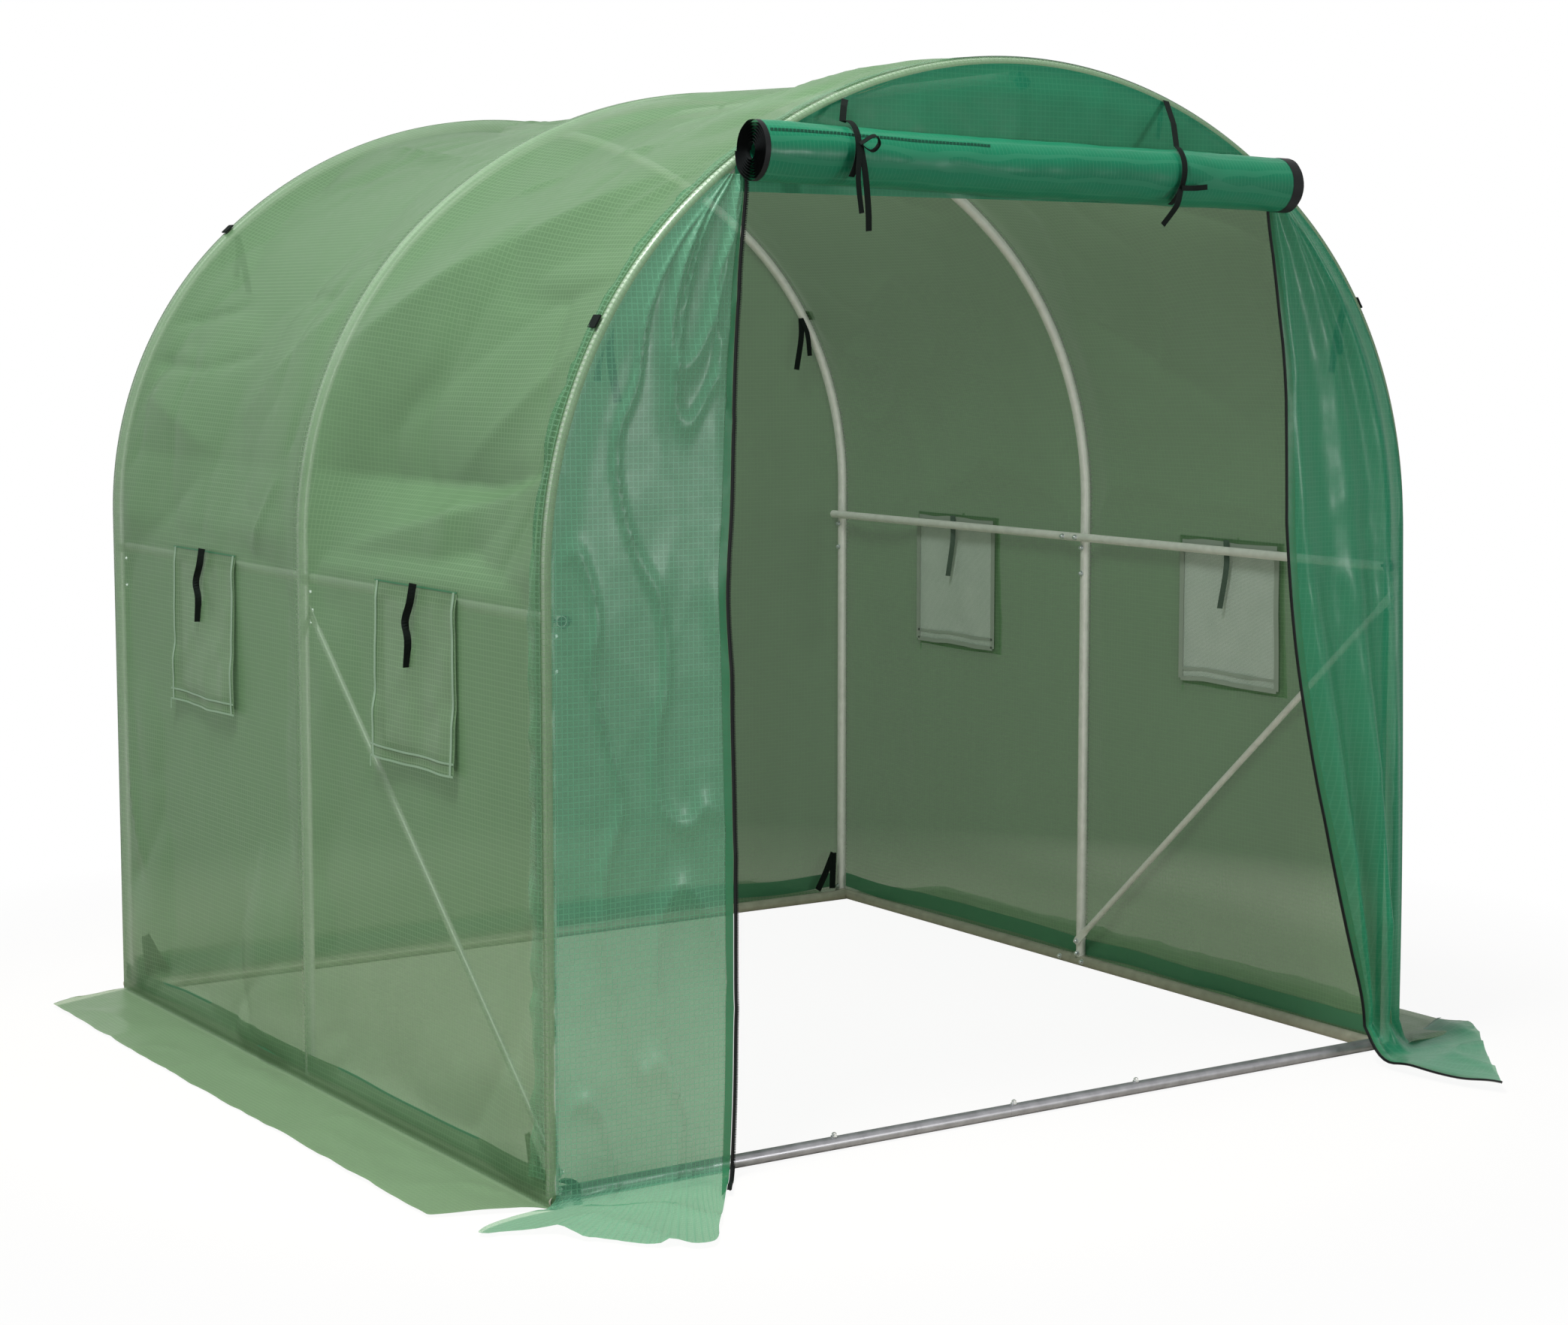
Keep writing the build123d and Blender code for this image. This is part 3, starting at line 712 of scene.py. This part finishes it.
left_ground = [
    (-0.79, -1.207), (-0.874, -1.311), (-0.94, -1.262), (-1.007, -1.195),
    (-1.06, -1.12), (-1.16, -1.045), (-1.076, -0.996),
]
right_ground = [
    (0.952, -1.331), (1.006, -1.268), (1.06, -1.203), (1.114, -1.142),
    (1.183, -1.061), (1.25, -0.985), (1.268, -0.924), (1.26, -0.864),
]
left_panel, left_points = panel(
    "front_left_panel_sheet", -1, left_door_edge, left_ground, streaks, 73, panel_cloth,
)
right_curtain, right_points = panel(
    "front_right_curtain", 1, right_door_edge, right_ground, gather, 83, end_cloth,
    bend=-0.03, foot_level=0.07, bulge=0.026,
)
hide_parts("front_left_panel", "front_skirts")
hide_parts("front_right_panel")


# Trees that make what is wound or repeated.
def grower(name, inputs, takes_mesh=True):
    """A geometry tree with named inputs: its graph, and what those inputs carry."""
    tree = bpy.data.node_groups.new(name, "GeometryNodeTree")
    if takes_mesh:
        tree.interface.new_socket("Geometry", in_out="INPUT", socket_type="NodeSocketGeometry")
    for label, value in inputs.items():
        kind = {float: "NodeSocketFloat", int: "NodeSocketInt"}.get(type(value), "NodeSocketMaterial")
        socket = tree.interface.new_socket(label, in_out="INPUT", socket_type=kind)
        if value is not None:
            socket.default_value = value
    tree.interface.new_socket("Geometry", in_out="OUTPUT", socket_type="NodeSocketGeometry")
    g = Graph(tree)
    return g, {s.name: Number(g, s) for s in g.node("NodeGroupInput").outputs if s.name}


def finish_tree(g, geometry, finish):
    """Ends a tree: what it made becomes one plain mesh in its own finish."""
    whole = g.node("GeometryNodeRealizeInstances", Geometry=geometry)
    dressed = g.node("GeometryNodeSetMaterial", Geometry=whole.outputs[0], Material=finish)
    g.node("NodeGroupOutput", Geometry=dressed.outputs[0])
    return g.tree


def grown(name, tree, base, material, slot, **values):
    """The plain mesh that a tree makes, given values for its named inputs."""
    thing = bpy.data.objects.new(name, base or bpy.data.meshes.new(name))
    bpy.context.scene.collection.objects.link(thing)
    step = thing.modifiers.new("grown", "NODES")
    step.node_group = tree
    wanted = {k.replace("_", " "): v for k, v in values.items()}
    for socket in tree.interface.items_tree:
        if socket.item_type == "SOCKET" and socket.in_out == "INPUT" and socket.name in wanted:
            step[socket.identifier] = wanted[socket.name]
    bpy.context.view_layer.update()
    mesh = bpy.data.meshes.new_from_object(thing.evaluated_get(bpy.context.evaluated_depsgraph_get()))
    bpy.data.objects.remove(thing)
    mesh.name = name
    return make_object(name, mesh, material)


# The door rolled up over the doorway: a long sheet wound round and round. The roll hangs a little lower at
# its right end.
roll_left, roll_right = -0.626, 0.600
roll_axis, roll_height, roll_fall = -1.0506, 1.800, 0.0277
roll_turns = 8.0
roll_columns, roll_rows = 130, 330
left_tape, right_tape = 0.009, 0.024


def roll_tree():
    """A sheet wound into a spiral about a line that falls a little from left to right."""
    g, given = grower("wound_sheet", {
        "Left": roll_left, "Right": roll_right, "Turns": roll_turns, "Core": 0.012, "Pitch": 0.0052,
        "Lift": 0.0, "Steps Along": 100, "Steps Round": 300, "Cloth": None,
    }, takes_mesh=False)
    sheet = g.node(
        "GeometryNodeMeshGrid", Size_X=1.0, Size_Y=1.0,
        Vertices_X=given["Steps Along"], Vertices_Y=given["Steps Round"],
    )
    place = g.node("ShaderNodeSeparateXYZ", Vector=g.node("GeometryNodeInputPosition").outputs[0])
    x = given["Left"] + (given["Right"] - given["Left"]) * (g.out(place, 0) + 0.5)
    turned = (g.out(place, 1) + 0.5) * given["Turns"]
    angle = (turned - given["Turns"]) * tau

    def slack(along, round_it, detail):
        spot = g.node("ShaderNodeCombineXYZ", X=x * along, Y=angle.cos() * round_it, Z=angle.sin() * round_it)
        bumps = g.node("ShaderNodeTexNoise", Vector=spot.outputs[0], Scale=1.0, Detail=detail)
        return g.out(bumps) - 0.5

    loose = turned / given["Turns"] * (slack(9, 1.1, 2.0) * 0.006 + slack(5, 0.4, 1.0) * 0.012)
    radius = given["Core"] + given["Pitch"] * turned + given["Lift"] + loose
    y = angle.cos() * radius * 0.92 + roll_axis
    z = angle.sin() * radius + roll_height - (x - roll_left) * roll_fall
    moved = g.node(
        "GeometryNodeSetPosition", Geometry=sheet.outputs["Mesh"],
        Position=g.node("ShaderNodeCombineXYZ", X=x, Y=y, Z=z).outputs[0],
    )
    unrolled = (given["Core"] * turned + given["Pitch"] * turned * turned * 0.5) * tau
    mapped = g.node(
        "GeometryNodeStoreNamedAttribute", {"data_type": "FLOAT2", "domain": "CORNER"}, Name="cut",
        Geometry=moved.outputs[0], Value=g.node("ShaderNodeCombineXYZ", X=x, Y=unrolled).outputs[0],
    )
    even = g.node("GeometryNodeSetShadeSmooth", Geometry=mapped.outputs[0])
    return finish_tree(g, even.outputs[0], given["Cloth"])


winding = roll_tree()


def wound(name, left, right, material, steps, over=0.0):
    """A piece of the roll from left to right, lying over the sheet's own spiral by a little."""
    return grown(
        name, winding, None, material, "front_sheet", Left=left, Right=right, Lift=over,
        Steps_Along=steps, Steps_Round=roll_rows, Cloth=material,
    )


door_roll_sheet = wound(
    "door_roll_sheet", roll_left + left_tape, roll_right - right_tape, end_cloth, roll_columns,
)
roll_tape_left = wound("door_zip_tape_left", roll_left, roll_left + left_tape + 0.002, zip_black, 5, 0.0006)
roll_tape_right = wound(
    "door_zip_tape_right", roll_right - right_tape - 0.002, roll_right, zip_black, 5, 0.0006,
)
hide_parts("door_roll")


def round_roll(x, start, end):
    """A line round the front of the roll near x, between two angles from the top, in degrees."""
    turn = np.radians(np.linspace(start, end, 26))
    y = roll_axis - np.sin(turn) * 0.0564
    z = roll_height - (x - roll_left) * roll_fall + np.cos(turn) * 0.06
    return np.stack([x + np.linspace(0.02, 0, len(turn)), y, z], -1)


sideways = (1, 0, 0)
left_tie = curve_through([(-0.392, -0.995, 1.896), (-0.412, -1.02, 1.882)], 4)
left_tie = np.concatenate([left_tie, round_roll(-0.448, -12, 130)])
right_tie = curve_through([(0.345, -0.995, 1.92), (0.325, -1.04, 1.874)], 5)
right_tie = np.concatenate([right_tie, round_roll(0.285, 22, 150)])
knot = np.array([-0.442, -1.112, 1.812])
bow = [(0, 0, 0), (0.022, -0.012, 0.014), (0.036, -0.006, 0.002), (0.022, -0.004, -0.012), (0, 0, 0)]
long_end = [(0, 0, 0), (0.008, -0.004, -0.05), (0.016, -0.002, -0.11), (0.02, 0.002, -0.148)]
short_end = [(0, 0, 0), (-0.008, -0.006, -0.06), (0.002, -0.002, -0.118)]
roll_ties = strips(
    "roll_ties",
    [
        (left_tie, sideways, 0.012, tape_thickness),
        tape(hanging(knot, bow), 24, (0, 1, 0.6), 0.009),
        tape(hanging(knot, long_end), 24, sideways, 0.012),
        tape(hanging(knot, short_end), 20, sideways, 0.010),
        (right_tie, sideways, 0.012, tape_thickness),
        tape([(0.285, -1.112, 1.752), (0.31, -1.118, 1.752), (0.345, -1.113, 1.755)], 16, (0, 0, 1), 0.010),
        tape([(0.285, -1.108, 1.75), (0.272, -1.112, 1.72), (0.246, -1.104, 1.684)], 16, sideways, 0.012),
        tape([(0.342, -0.984, 1.905), (0.34, -0.984, 1.88), (0.335, -0.984, 1.85)], 10, sideways, 0.010),
    ],
    black_tape,
)


# Windows: insect net in the opening, a flap tied down over it, and its ties.
net_half, flap_half = 0.15, 0.165
endways, upwards = (0, 1, 0), (0, 0, 1)


def square(half, count):
    """A square grid about 0, in distances along the tunnel and up the wall."""
    steps = np.linspace(-half, half, count)
    return np.meshgrid(steps, steps, indexing="ij")


def wall_reach(side, y, z, out):
    """x of a place on a side wall that stands out from the sheet's taut face."""
    return side * (half_span + lift + out + cover_shape(side * (foot - z), y))


def window_net(tag, side, centre):
    yy, zz = square(net_half, 19)
    bag = 0.002 * noise(yy * 9 + centre, zz * 9, 91)
    rim = smooth(net_half - np.maximum(np.abs(yy), np.abs(zz)), 0, 0.05)
    y, z = centre + yy, window_z + zz
    points = np.stack([wall_reach(side, y, z, bag * rim - 0.003), y, z], -1)
    flat = np.stack([yy, zz], -1)
    screen = sheet_mesh(f"window_net_{tag}", points, flat, net, turn=side < 0)
    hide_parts("window_screens")
    return screen


def window_flap(tag, side, centre):
    """The flap over a window, free at its foot, and its points."""
    yy, zz = square(flap_half, 31)
    low = smooth(-zz, -0.1, flap_half)
    waves = 0.006 * low * (1 + noise(yy * 14 + centre * 3, zz * 4, 93)) + 0.0025 * noise(yy * 25, zz * 25, 95)
    bag = (0.004 + waves) * smooth(flap_half - zz, -0.004, 0.04) + 0.0015
    y, z = centre + yy, window_z + zz
    x = wall_reach(side, y, z, bag)
    y = y + 0.004 * noise(zz * 16, yy * 3, 97) * low
    z = z + 0.004 * noise(yy * 12 + centre, zz * 3, 99) * low
    points = np.stack([x, y, z], -1)
    flat = np.stack([yy + 0.005, zz], -1)
    flap = sheet_mesh(f"window_flap_{tag}", points, flat, flap_cloth, turn=side < 0)
    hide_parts("window_flaps")
    return flap, points


def flap_trims(tag, side, points):
    """Stitched hems of a flap, its top edge, and the tie that hangs from its middle."""
    out = np.array([side, 0, 0])
    rise = points + out * 0.0012
    corner = rise[-1:, 0]
    hems = strips(
        f"flap_hems_{tag}",
        [
            (rise[1, :], endways, 0.008, 0.0005),
            (rise[-2, :], endways, 0.008, 0.0005),
            (rise[:, 0], upwards, 0.004, 0.0005),
            (rise[:, 2], upwards, 0.004, 0.0005),
            (np.concatenate([corner, corner + [0, 0.002, -0.022]]), endways, 0.004, 0.0005),
        ],
        pale_hem,
    )
    head = points[:, -1] + out * 0.001
    trims = strips(f"flap_top_edge_{tag}", [(head, upwards, 0.003, 0.0006)], hem_cloth)
    turned = np.interp(np.linspace(0, 1, 24), [0, 0.3, 0.45, 0.6, 1], np.radians([37, 19, 47, -1, 9]))
    twisting = np.stack([np.cos(turned), side * np.sin(turned), 0 * turned], -1)
    start = rise[len(rise) // 2, -1] + out * 0.009
    steps = [(0, -0.012, 0.006), (0.003, -0.004, -0.03), (0.004, 0.014, -0.066), (0.003, 0.006, -0.1)]
    steps.append((0.001, 0.016, -0.15))
    line = hanging(start, [(side * x, y, z) for x, y, z in steps])
    ties = strips(f"flap_ties_{tag}", [tape(line, 24, twisting, 0.014)], black_tape)
    return hems, trims, ties


def net_trims(tag, side, centre, points):
    """Hems round a net, and the tie that hangs inside it from the middle of the flap's top edge."""
    yy, zz = square(net_half, 19)
    y, z = centre + yy, window_z + zz
    rough = 0.003 * noise(yy * 18 + centre, zz * 3, 101)
    border = np.stack([wall_reach(side, y, z, -0.0045), y, z + rough], -1)
    net_hems = strips(
        f"net_hems_{tag}",
        [
            (border[0, :], endways, 0.014, 0.0006),
            (border[-1, :], endways, 0.014, 0.0006),
            (border[:, 0], upwards, 0.010, 0.0006),
            (border[:, 0] + [0, 0, 0.022], upwards, 0.006, 0.0006),
            (border[:, -1], upwards, 0.020, 0.0006),
        ],
        net_hem,
    )
    start = points[len(points) // 2, -1] - np.array([side * 0.014, 0, 0])
    line = hanging(start, [(0, 0, 0), (-side * 0.004, -0.006, -0.06), (-side * 0.003, 0.014, -0.15)])
    inner_ties = strips(f"net_ties_{tag}", [tape(line, 16, (0.85, -0.53, 0), 0.012)], grey_tie)
    return net_hems, inner_ties


for side_name, side in (("left", -1), ("right", 1)):
    for end_name, centre in (("front", -window_y), ("rear", window_y)):
        tag = f"{side_name}_{end_name}"
        screen = window_net(tag, side, centre)
        flap, points = window_flap(tag, side, centre)
        hems, trims, ties = flap_trims(tag, side, points)
        net_hems, inner_ties = net_trims(tag, side, centre, points)


# Zip tapes down both door edges with their teeth, and rows of stitches.
def dashes_tree():
    """Small blocks at even steps along a line, each turned to follow it."""
    g, given = grower("blocks_on_a_line", {
        "Step": 0.003, "Length": 0.0016, "Width": 0.004, "Height": 0.0012, "Finish": None,
    })
    line = g.node("GeometryNodeMeshToCurve", Mesh=given["Geometry"])
    spots = g.node(
        "GeometryNodeCurveToPoints", {"mode": "LENGTH"}, Curve=line.outputs[0], Length=given["Step"],
    )
    size = g.node("ShaderNodeCombineXYZ", X=given["Height"], Y=given["Width"], Z=given["Length"])
    block = g.node("GeometryNodeMeshCube", Size=size.outputs[0])
    placed = g.node(
        "GeometryNodeInstanceOnPoints", Points=spots.outputs["Points"],
        Instance=block.outputs["Mesh"], Rotation=spots.outputs["Rotation"],
    )
    return finish_tree(g, placed.outputs[0], given["Finish"])


def line_mesh(name, paths):
    verts, edges = [], []
    for path in paths:
        base = len(verts)
        verts += [tuple(map(float, p)) for p in path]
        edges += [(base + i, base + i + 1) for i in range(len(path) - 1)]
    mesh = bpy.data.meshes.new(name)
    mesh.from_pydata(verts, edges, [])
    return mesh


def door_hem(name, points, turn=False):
    """A doubled hem over the first columns of a front panel, beside the zip."""
    strip = points[:, :3]
    laid = strip + np.array([0, -0.0012, 0.0008])
    return sheet_mesh(name, laid, strip[..., ::2], hem_cloth, turn=turn)


blocks = dashes_tree()
# The left zip ends a little way out along the skirt.
left_points = left_points[:panel_rows + 10]
left_edge = left_points[:, 0] + np.array([0.004, -0.002, 0.001])
right_edge = right_points[:, 0] + np.array([-0.004, -0.002, 0.001])
zip_tapes = strips(
    "door_zip_tapes", [(edge, sideways, 0.006, 0.0014) for edge in (left_edge, right_edge)],
    zip_black,
)
teeth = line_mesh("teeth_line", [left_edge + [0.003, -0.001, 0], right_edge + [-0.003, -0.001, 0]])
zip_teeth = grown(
    "door_zip_teeth", blocks, teeth, zip_black, "front_sheet",
    Step=0.003, Length=0.0016, Width=0.004, Height=0.003, Finish=zip_black,
)
roll_grid = np.array([v.co for v in door_roll_sheet.data.vertices]).reshape(roll_columns, roll_rows, 3)
seam_row = round((roll_turns - 0.61) / roll_turns * (roll_rows - 1))
seam_line = roll_grid[1:52, seam_row] + np.array([0, -0.0008, 0.0008])
roll_seam = grown(
    "door_roll_stitches", blocks, line_mesh("roll_seam_line", [seam_line]), stitch_green, "front_sheet",
    Step=0.0075, Length=0.0055, Width=0.005, Height=0.0014, Finish=stitch_green,
)
left_hem = door_hem("left_door_hem", left_points)
right_hem = door_hem("right_door_hem", right_points, turn=True)


# Bolts at the tube joints and brace ends.
def bolt_tree():
    """A washer and six-sided head on each point, along the direction the point carries."""
    g, given = grower("bolts_on_points", {"Head": 0.005, "Washer": 0.0065, "Finish": None})
    joined = g.node("GeometryNodeJoinGeometry")
    for corners, radius, depth, level in (
        (6, given["Head"], 0.004, 0.003), (24, given["Washer"], 0.0012, 0.0), (12, 0.003, 0.012, 0.001),
    ):
        part = g.node("GeometryNodeMeshCylinder", Vertices=corners, Radius=radius, Depth=depth)
        raised = g.node("GeometryNodeTransform", Geometry=part.outputs["Mesh"], Translation=(0, 0, level))
        g.tree.links.new(raised.outputs[0], joined.inputs[0])
    axis = g.node("GeometryNodeInputNamedAttribute", {"data_type": "FLOAT_VECTOR"}, Name="axis")
    aim = g.node("FunctionNodeAlignRotationToVector", {"axis": "Z"}, Vector=axis.outputs[0])
    placed = g.node(
        "GeometryNodeInstanceOnPoints", Points=given["Geometry"],
        Instance=joined.outputs[0], Rotation=aim.outputs[0],
    )
    return finish_tree(g, placed.outputs[0], given["Finish"])


bolts = []
for side in (-1, 1):
    inward = (-side, 0, 0)
    leg, purlin, rail = side * (half_span - 0.011), side * 0.9572, side * (half_span - 0.0135)
    bolts += [((leg, y, z), inward) for y in (-hoop_y, 0.0, hoop_y) for z in (0.985, 0.925, 0.03)]
    bolts += [((purlin, y, 1.010), inward) for y in (0.046, 0.0)]
    bolts += [((rail, y, 0.0135), inward) for y in (0.06, -0.02)]
bolts += [((0.0, y, 1.9437), (0, 0, -1)) for y in (0.046, -0.02)]
brace = 0.9735
bolts += [((-brace, y, z), (1, 0, 0)) for y, z in ((-hoop_y, 0.06), (0.0, 0.948))]
bolts += [((brace, y, z), (-1, 0, 0)) for y, z in ((0.0, 0.06), (-hoop_y, 0.948))]
bolts += [((x, -0.951, 0.0255), (0, 0, 1)) for x in (-0.38, 0.037, 0.34)]
bolt_points = bpy.data.meshes.new("bolt_points")
bolt_points.from_pydata([place for place, _ in bolts], [], [])
axes = bolt_points.attributes.new("axis", "FLOAT_VECTOR", "POINT")
axes.data.foreach_set("vector", np.array([axis for _, axis in bolts], np.float32).ravel())
grown("frame_bolts", bolt_tree(), bolt_points, bolt_steel, "galvanised_tube", Finish=bolt_steel)


# Tie tabs that hold the cover to the hoops, and the straps round the corners.
tabs, tails = [], []
slanting = (0.95, -0.3, 0)
for y, a in ((-0.972, -1.05), (0.972, -0.779), (-0.972, 1.013), (0.972, 1.037)):
    side, inward = np.sign(a), -np.sign(y)
    x, z, nx, nz = (float(v) for v in profile(np.array(a), 0.017))
    normal, down = np.array([nx, 0, nz]), np.array([nz * side, 0, -abs(nx)])
    start = np.array([x, y, z])
    tabs.append(([start - down * 0.012, start, start + down * 0.012], endways, 0.024, 0.003))
    knot = start - normal * 0.034
    outer = [(0, 0, 0.01), (-side * 0.008, inward * 0.012, -0.04), (-side * 0.022, inward * 0.012, -0.12)]
    inner = [(0, 0, 0.01), (side * 0.006, inward * 0.02, -0.03), (side * 0.012, inward * 0.022, -0.085)]
    tails.append(tape(hanging(knot, outer), 16, slanting, 0.014))
    tails.append(tape(hanging(knot, inner), 12, slanting, 0.012))
hoop_tabs = strips("hoop_tie_tabs", tabs, black_tape)
hoop_tails = strips("hoop_tie_tails", tails, black_tape)

strap_thickness = 0.0014


def strap(top, feet, across):
    """Two tapes from one place on a corner tube down to the rails."""
    middles = [(np.array(top) + low_end) / 2 + [0, 0, -0.004] for low_end in feet]
    return [
        tape([top, middle, low_end], 12, across, 0.018, strap_thickness)
        for middle, low_end in zip(middles, feet)
    ]


straps = strap((-0.974, -0.868, 0.101), [(-0.972, -0.938, 0.022), (-0.972, -0.885, 0.026)], (0, 1, 0.2))
free_end = [(-0.972, -0.938, 0.022), (-0.952, -0.948, 0.034), (-0.938, -0.972, 0.03), (-0.945, -0.988, 0.008)]
straps.append(tape(free_end, 14, (1, 0, 0.2), 0.016, strap_thickness))
for side in (-1, 1):
    feet = [(side * 0.900, 0.962, 0.030), (side * 0.946, 0.962, 0.030)]
    straps += strap((side * 0.952, 0.966, 0.123), feet, (1, 0, 0.2))
corner_straps = strips("corner_straps", straps, black_tape)


# Dark caps on the front ends of the purlins, each with the end of its cross bolt.
caps = []
turn = np.linspace(0, tau, 25)
circle = np.stack([np.cos(turn), 0 * turn, np.sin(turn)], -1)
for x, z in ((-0.962, 1.009), (0.010, 1.9415), (0.962, 1.012)):
    caps.append((circle * 0.0075 + [x, -0.9860, z], circle, 0.009, 0.009))
    cross_bolt = [(x - 0.022, -0.9875, z + 0.002), (x + 0.016, -0.9875, z + 0.001)]
    caps.append(tape(cross_bolt, 4, upwards, 0.005, 0.004))
strips("purlin_end_caps", caps, black_tape)


# A doubled hem along the foot of the walls and of the rear end.
hem_run = np.linspace(-0.972, 0.972, 60)
hem_level = 0.046 + 0.005 * noise(hem_run * 5, hem_run * 0, 103)
hem_paths = [(wall_reach(side, hem_run, hem_level, -0.0035), hem_run) for side in (-1, 1)]
hem_paths.append((hem_run, np.full(len(hem_run), hoop_y + lift - 0.004)))
ground_hems = strips(
    "wall_foot_hems", [(np.stack([x, y, hem_level], -1), upwards, 0.036, 0.0008) for x, y in hem_paths],
    foot_hem,
)


# Finish of the tubes.
for node in [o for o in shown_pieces() if "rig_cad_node" in o and not o.hide_render]:
    # The front rail keeps the bluish rail finish; the other rails take the browner copy.
    rail_finish = rail_steel if node.name.startswith("front_rail") else browner_rail_steel
    node.data.materials.clear()
    node.data.materials.append(rail_finish if "_rail_" in node.name else steel)


# Camera, light and floor.
scene = bpy.context.scene
scene.view_settings.view_transform = "Standard"
scene.view_settings.look = "None"
yaw, pitch, roll = radians(32.115), radians(-5.927), radians(-0.171)
ahead = Vector((sin(yaw) * cos(pitch), cos(yaw) * cos(pitch), sin(pitch)))
right = Vector((cos(yaw), -sin(yaw), 0))
up = right.cross(ahead)
level = right * cos(roll) + up * sin(roll)
upright = -right * sin(roll) + up * cos(roll)
camera_data = bpy.data.cameras.new("camera")
camera_data.sensor_width = 36
camera_data.lens = 67.32
camera_data.shift_x = 0.0571
camera_data.shift_y = -0.0251
camera = bpy.data.objects.new("camera", camera_data)
scene.collection.objects.link(camera)
facing = Matrix((level, upright, -ahead)).transposed().to_4x4()
camera.matrix_world = Matrix.Translation((-3.3809, -5.2564, 1.5148)) @ facing
scene.camera = camera

# The world is white where the camera sees it openly, and dim where it is seen through the sheets.
world = bpy.data.worlds.new("plain_light")
scene.world = world
world.use_nodes = True
world.node_tree.nodes.clear()
g = Graph(world.node_tree)
rays = g.node("ShaderNodeLightPath")
to_camera, films = g.out(rays, "Is Camera Ray"), g.out(rays, "Transparent Depth")
seen = g.math("MAXIMUM", to_camera, g.out(rays, "Is Glossy Ray"))
seen = g.math("MAXIMUM", seen, g.out(rays, "Is Transmission Ray"))
soft = g.node("ShaderNodeBackground", Color=(0.97, 0.98, 1.0, 1), Strength=0.34)
dim = g.node("ShaderNodeBackground", Color=(1.0, 0.98, 0.92, 1), Strength=0.15)
white = g.node("ShaderNodeBackground", Color=(1, 1, 1, 1), Strength=1.0)
whole = layered(g, seen * (films < 0.5), layered(g, to_camera * (films > 0.5), soft, dim), white)
g.node("ShaderNodeOutputWorld", Surface=whole.outputs[0])

for name, place, size, power in (
    ("key_light", (-2.6, -1.6, 6.2), 1.6, 500),
    ("fill_light", (2.3, -6.2, 1.2), 0.7, 100),
    ("side_light", (-6.0, -1.6, 2.2), 1.0, 24),
):
    data = bpy.data.lights.new(name, "AREA")
    data.shape, data.size, data.energy = "SQUARE", size, power
    lamp = bpy.data.objects.new(name, data)
    scene.collection.objects.link(lamp)
    turned = (Vector((0, 0, 1)) - Vector(place)).to_track_quat("-Z", "Y").to_matrix().to_4x4()
    lamp.matrix_world = Matrix.Translation(place) @ turned

# The floor is nearly white where the camera sees it openly, and dim far out where it is seen through sheets.
floor_look, g = new_material("pale_floor")
rays = g.node("ShaderNodeLightPath")
to_camera, films = g.out(rays, "Is Camera Ray"), g.out(rays, "Transparent Depth")
place = g.node("ShaderNodeTexCoord").outputs["Object"]
length = g.out(g.node("ShaderNodeVectorMath", {"operation": "LENGTH"}, Vector=place), "Value")
away = g.out(g.node("ShaderNodeClamp", Value=(length - 1.6) / 0.9))
matt = g.node("ShaderNodeBsdfDiffuse", Color=(0.78, 0.73, 0.64, 1))
distant = g.node("ShaderNodeEmission", Color=(1.0, 0.98, 0.92, 1), Strength=0.15)
bright = g.node("ShaderNodeEmission", Color=(1, 1, 1, 1), Strength=1.0)
open_view = to_camera * (films < 0.5) * (away * 0.08 + 0.92)
whole = layered(g, open_view, layered(g, away * to_camera, matt, distant), bright)
g.node("ShaderNodeOutputMaterial", Surface=whole.outputs[0])
rim = [(2.5 * cos(t), 2.5 * sin(t), -0.001) for t in np.linspace(0, tau, 97)[:-1]]
floor_mesh = bpy.data.meshes.new("floor")
floor_mesh.from_pydata(rim, [], [tuple(range(96))])
floor_mesh.materials.append(floor_look)
floor = bpy.data.objects.new("floor", floor_mesh)
scene.collection.objects.link(floor)
